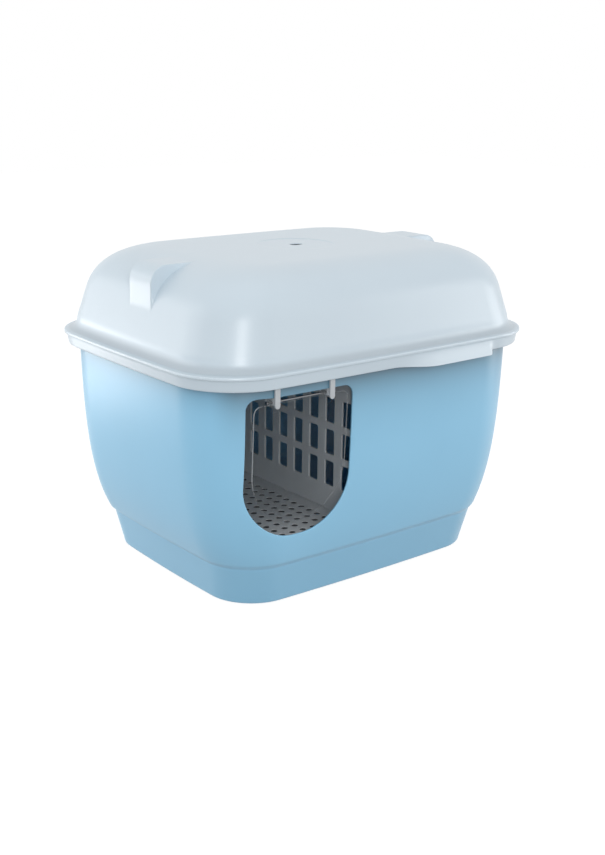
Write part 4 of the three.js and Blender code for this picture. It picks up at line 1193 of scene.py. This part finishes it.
def side_points(half_width, half_depth, corner, right, back, front=None):
    """Points down the left side from `back`, and on round the front left corner to x = `right`."""
    flat_x, flat_y = half_width - corner, half_depth - corner
    down = np.linspace(back, -flat_y, 24)
    angle = np.linspace(0, math.pi / 2, 25)[1:]
    ahead = np.linspace(-flat_x, right, 24)[1:]
    x = np.concatenate([np.full(24, -half_width), -flat_x - corner * np.cos(angle), ahead])
    y = np.concatenate([down, -flat_y - corner * np.sin(angle), np.full(23, -half_depth)])
    x, y = bow(x, y, half_width, half_depth)
    path = np.stack([x, y], axis=1)
    path[-1, 0] = right
    path[0, 1] = back
    if front is not None:
        last = int(np.argmax(path[:, 1] < front))
        share = (path[last - 1, 1] - front) / (path[last - 1, 1] - path[last, 1])
        path = np.concatenate([path[:last], [path[last - 1] + share * (path[last] - path[last - 1])]])
    return path


outline = np.concatenate([[(DECK_RIGHT, DECK_BACK)], side_points(*section, DECK_RIGHT, DECK_BACK)])
sockets = []
for y in TAB_PLACES:
    left, right = PARTITION_LEFT - SEAT_GAP, PARTITION_RIGHT + SEAT_GAP
    near, far = y - TAB_HALF - SEAT_GAP, y + TAB_HALF + SEAT_GAP
    sockets.append(np.array([(left, near), (left, far), (right, far), (right, near)]))
deck = sheet("deck", [outline] + sockets, DECK_THICKNESS,
             lambda x, y, depth: np.stack([x, y, DECK_TOP - DECK_THICKNESS + depth], axis=-1), 0.6)

# %% Cutters
def drum(name, rows, place):
    """A closed solid from matching loops, each at its own depth, for cutting."""
    points = np.concatenate([
        place(loop[:, 0], loop[:, 1], np.full(len(loop), depth)) for depth, loop in rows])
    size = len(rows[0][1])
    ends = [list(range(size)), list(range(len(points) - size, len(points)))]
    return new_piece(name, points, quads(len(rows), size).tolist() + ends)


def eased(thickness, ease, loop_at, relief=None):
    """Loops through a sheet, wider by `ease` where they leave its faces. A relief widens the far half."""
    half = thickness / 2
    rows = [(half + 1, ease), (half, ease), (half - ease, 0)]
    if relief:
        rows += [(half - 2 * ease, 0), (half - 2 * ease - relief, relief), (-half - 1, relief)]
    else:
        rows += [(ease - half, 0), (-half, ease), (-half - 1, ease)]
    return [(depth, loop_at(grow)) for depth, grow in rows]


# %% Deck holes
HOLE_RADIUS, HOLE_PITCH, HOLE_SIDES = 4.2, 17.0, 16
FIRST_HOLE = (PARTITION_LEFT - 22.5, DECK_BACK - 7, DECK_TOP - DECK_THICKNESS / 2)
spokes = np.arange(HOLE_SIDES) / HOLE_SIDES * 2 * math.pi
circle = np.stack([np.cos(spokes), np.sin(spokes)], axis=1)
cutter = drum("hole", eased(DECK_THICKNESS, 0.4, lambda grow: circle * (HOLE_RADIUS + grow), 1.6),
              lambda x, y, depth: np.stack([x, y, depth], axis=-1))
half_width, half_depth, corner = section - 2.4
perforate(deck, cutter, walkway_plastic, origin=FIRST_HOLE, step_a=(-HOLE_PITCH, 0, 0),
          step_b=(0, -HOLE_PITCH, 0), count_a=10, count_b=16, corner_x=half_width - corner,
          corner_y=half_depth - corner, corner_reach=corner - 5)

# %% Stand under the deck
foot = tub_section(TUB_FLOOR + 0.4) - STAND_INSET
outer_path = side_points(*foot, PARTITION_RIGHT, DECK_BACK, STAND_FRONT)
inner_path = side_points(*(foot - PANEL), PARTITION_RIGHT - PANEL, DECK_BACK - PANEL, STAND_FRONT)
stand_outline = np.concatenate([
    [(PARTITION_RIGHT, STAND_FRONT), (PARTITION_RIGHT, DECK_BACK)], outer_path, inner_path[::-1],
    [(PARTITION_RIGHT - PANEL, DECK_BACK - PANEL), (PARTITION_RIGHT - PANEL, STAND_FRONT)]])
low = TUB_FLOOR + 0.4
stand = sheet("stand", [stand_outline], DECK_TOP - DECK_THICKNESS + 1 - low,
              lambda x, y, depth: np.stack([x, y, low + depth], axis=-1), 0.5)
cut(deck, [stand], "UNION")
tidy_mesh(deck)
even_normals(deck)

# %% [markdown]
# ## The partition
# An upright grille stands in the deck's sockets and keeps the litter chamber apart from the way in. Its
# front edge leans as the tub's wall does, and its upper corners are round.
# %% Partition
PARTITION_FOOT = DECK_TOP + 0.4
FRONT_LEAN, TOP_CORNER = 10.5, 22.0
SLOT_WIDTH, SLOT_HEIGHT, SLOT_CORNER = 18.6, 34.6, 2.5
SLOT_PITCH, SLOT_RISE = 34.2, 44.3
SLOT_MARGIN, SLOT_ABOVE_DECK = 7, 34.3
front_top, back = PARTITION_LOW[1], PARTITION_HIGH[1]
top = PARTITION_HIGH[2]
outline = [(front_top + FRONT_LEAN, PARTITION_FOOT)]
for y in TAB_PLACES[::-1]:
    outline += [(y - TAB_HALF, PARTITION_FOOT), (y - TAB_HALF, DECK_TOP - DECK_THICKNESS),
                (y + TAB_HALF, DECK_TOP - DECK_THICKNESS), (y + TAB_HALF, PARTITION_FOOT)]
outline += [(back, PARTITION_FOOT)]
outline += [(back - TOP_CORNER * (1 - c), top - TOP_CORNER * (1 - s)) for s, c in arc(10)]
outline += [(front_top + TOP_CORNER * (1 - s), top - TOP_CORNER * (1 - c)) for s, c in arc(10)]


def on_partition(y, z, depth):
    return np.stack([PARTITION_LEFT + depth, y, z], axis=-1)


thickness = PARTITION_RIGHT - PARTITION_LEFT
partition = sheet("partition", [np.array(outline)], thickness, on_partition, 0.6)


def slot_loop(grow):
    half_width, half_height = SLOT_WIDTH / 2 + grow, SLOT_HEIGHT / 2 + grow
    return rounded_outline(-half_width, -half_height, half_width, half_height,
                           (SLOT_CORNER + grow,) * 4, (4,) * 4, 400)


cutter = drum("slot", eased(thickness, 0.5, slot_loop),
              lambda y, z, depth: np.stack([depth, y, z], axis=-1))
first_slot = ((PARTITION_LEFT + PARTITION_RIGHT) / 2, back - SLOT_MARGIN - SLOT_WIDTH / 2,
              DECK_TOP + SLOT_ABOVE_DECK + SLOT_HEIGHT / 2)
perforate(partition, cutter, walkway_plastic, origin=first_slot, step_a=(0, -SLOT_PITCH, 0),
          step_b=(0, 0, SLOT_RISE), count_a=8, count_b=3, corner_x=0.0, corner_y=0.0, corner_reach=9999.0)

# %% [markdown]
# ## Putting the pieces on their bodies
# Each new piece rides on the body of the node that it stands for, gets its own materials, and the node is
# hidden.
# %% Ride
EDGE_FACING = 0.85


def stand_for(piece, node, body, slot, *materials):
    """Gives a piece its materials and puts it in the place of a node."""
    piece.data.materials.clear()
    for material in materials:
        piece.data.materials.append(material)
    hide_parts(node)
    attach(piece, body)


stand_for(tub, "tub_shell", "tub", "tub_plastic", tub_plastic)
stand_for(hood, "hood_shell", "hood", "hood_plastic", hood_plastic)
stand_for(flap, "entry_flap", "flap", "flap_plastic", flap_plastic, flap_edge_highlight)
stand_for(rod, "flap_hinge_rod", "flap", "rod_steel", rod_steel)
for hanger, side in zip(hangers, ("left", "right")):
    stand_for(hanger, f"flap_hanger_{side}", "tub", "hanger_plastic", hanger_plastic)
stand_for(deck, "walkway_deck", "walkway", "walkway_plastic", walkway_plastic)
stand_for(partition, "slotted_partition", "walkway", "walkway_plastic", walkway_plastic)
across_flap = Vector((0, -math.cos(flap_lean), -math.sin(flap_lean)))
for face in flap.data.polygons:
    face.material_index = int(abs(face.normal.dot(across_flap)) < EDGE_FACING)

# %% [markdown]
# ## Floor, light and air
# The floor is a wide pale sheet. It looks pure white to the camera, and it still takes the shadow from
# light that falls on it. Most light is even and comes from the world. Seven soft lamps add to it: three
# at the left, two at the right, one overhead, and a tall narrow one that draws the streak on the hood's
# front left corner.
# %% Floor
FLOOR_HALF, FLOOR_GAP = 6000, 0.5


def seen_directly(nodes):
    """1 for a ray from the camera, a reflection or a clear sheet, and 0 for one that gathers light."""
    rays = nodes.make("ShaderNodeLightPath")
    seen = rays.out("Is Camera Ray") + rays.out("Is Glossy Ray") + rays.out("Is Transmission Ray")
    return seen.math("MINIMUM", seen, 1.0)


corners = [(FLOOR_HALF * x, FLOOR_HALF * y, -FLOOR_GAP) for x, y in ((-1, -1), (1, -1), (1, 1), (-1, 1))]
floor = new_piece("floor", corners, [(0, 1, 2, 3)])
material, nodes = new_material("floor_white")
plain = nodes.make("ShaderNodeBsdfDiffuse", {}, {"Color": (0.27, 0.27, 0.27, 1)})
glow = nodes.make("ShaderNodeEmission", {}, {"Color": (1, 1, 1, 1), "Strength": 0.85})
both = nodes.make("ShaderNodeAddShader", {}, {0: plain, 1: glow})
mixed = nodes.make("ShaderNodeMixShader", {}, {0: seen_directly(nodes), 1: plain, 2: both})
nodes.make("ShaderNodeOutputMaterial", {}, {"Surface": mixed})
floor.data.materials.append(material)

# %% World and lamps
AMBIENT = 0.67
world = bpy.data.worlds.new("studio")
bpy.context.scene.world = world
world.use_nodes = True
world.node_tree.nodes.clear()
nodes = Nodes(world.node_tree)
strength = seen_directly(nodes) * (1 - AMBIENT) + AMBIENT
air = nodes.make("ShaderNodeBackground", {}, {"Color": (1, 1, 1, 1), "Strength": strength})
nodes.make("ShaderNodeOutputWorld", {}, {"Surface": air})


def lamp(name, place, width, height, power, aim=0.22):
    """A soft lamp that faces the box's axis at the height `aim`, all in metres."""
    light = bpy.data.lights.new(name, "AREA")
    light.shape, light.size, light.size_y, light.energy = "ELLIPSE", width, height, power
    obj = bpy.data.objects.new(name, light)
    bpy.context.scene.collection.objects.link(obj)
    obj.location, obj.visible_camera = place, False
    obj.rotation_euler = (Vector(place) - Vector((0, 0, aim))).to_track_quat("Z", "Y").to_euler()
    print(f"lamp {name}: {power} W")


lamp("left low", (-0.85, 1.1, 0.45), 0.9, 0.9, 2.2)
lamp("left near", (-0.62, 0.75, 0.15), 0.4, 0.4, 1.3, aim=0.2)
lamp("left high", (-2.4, 1.3, 1.3), 2.0, 2.0, 10, aim=0.2)
lamp("right", (0.95, -0.5, 0.3), 0.5, 0.5, 1.4)
lamp("front right", (1.3, -1.1, 0.7), 0.7, 0.7, 2.1)
lamp("strip", (-0.99, -1.62, 0.7), 0.38, 1.2, 9)
lamp("top", (0, 0.3, 2.6), 1.8, 1.8, 1.2)

view = bpy.context.scene.view_settings
view.view_transform = "Standard"
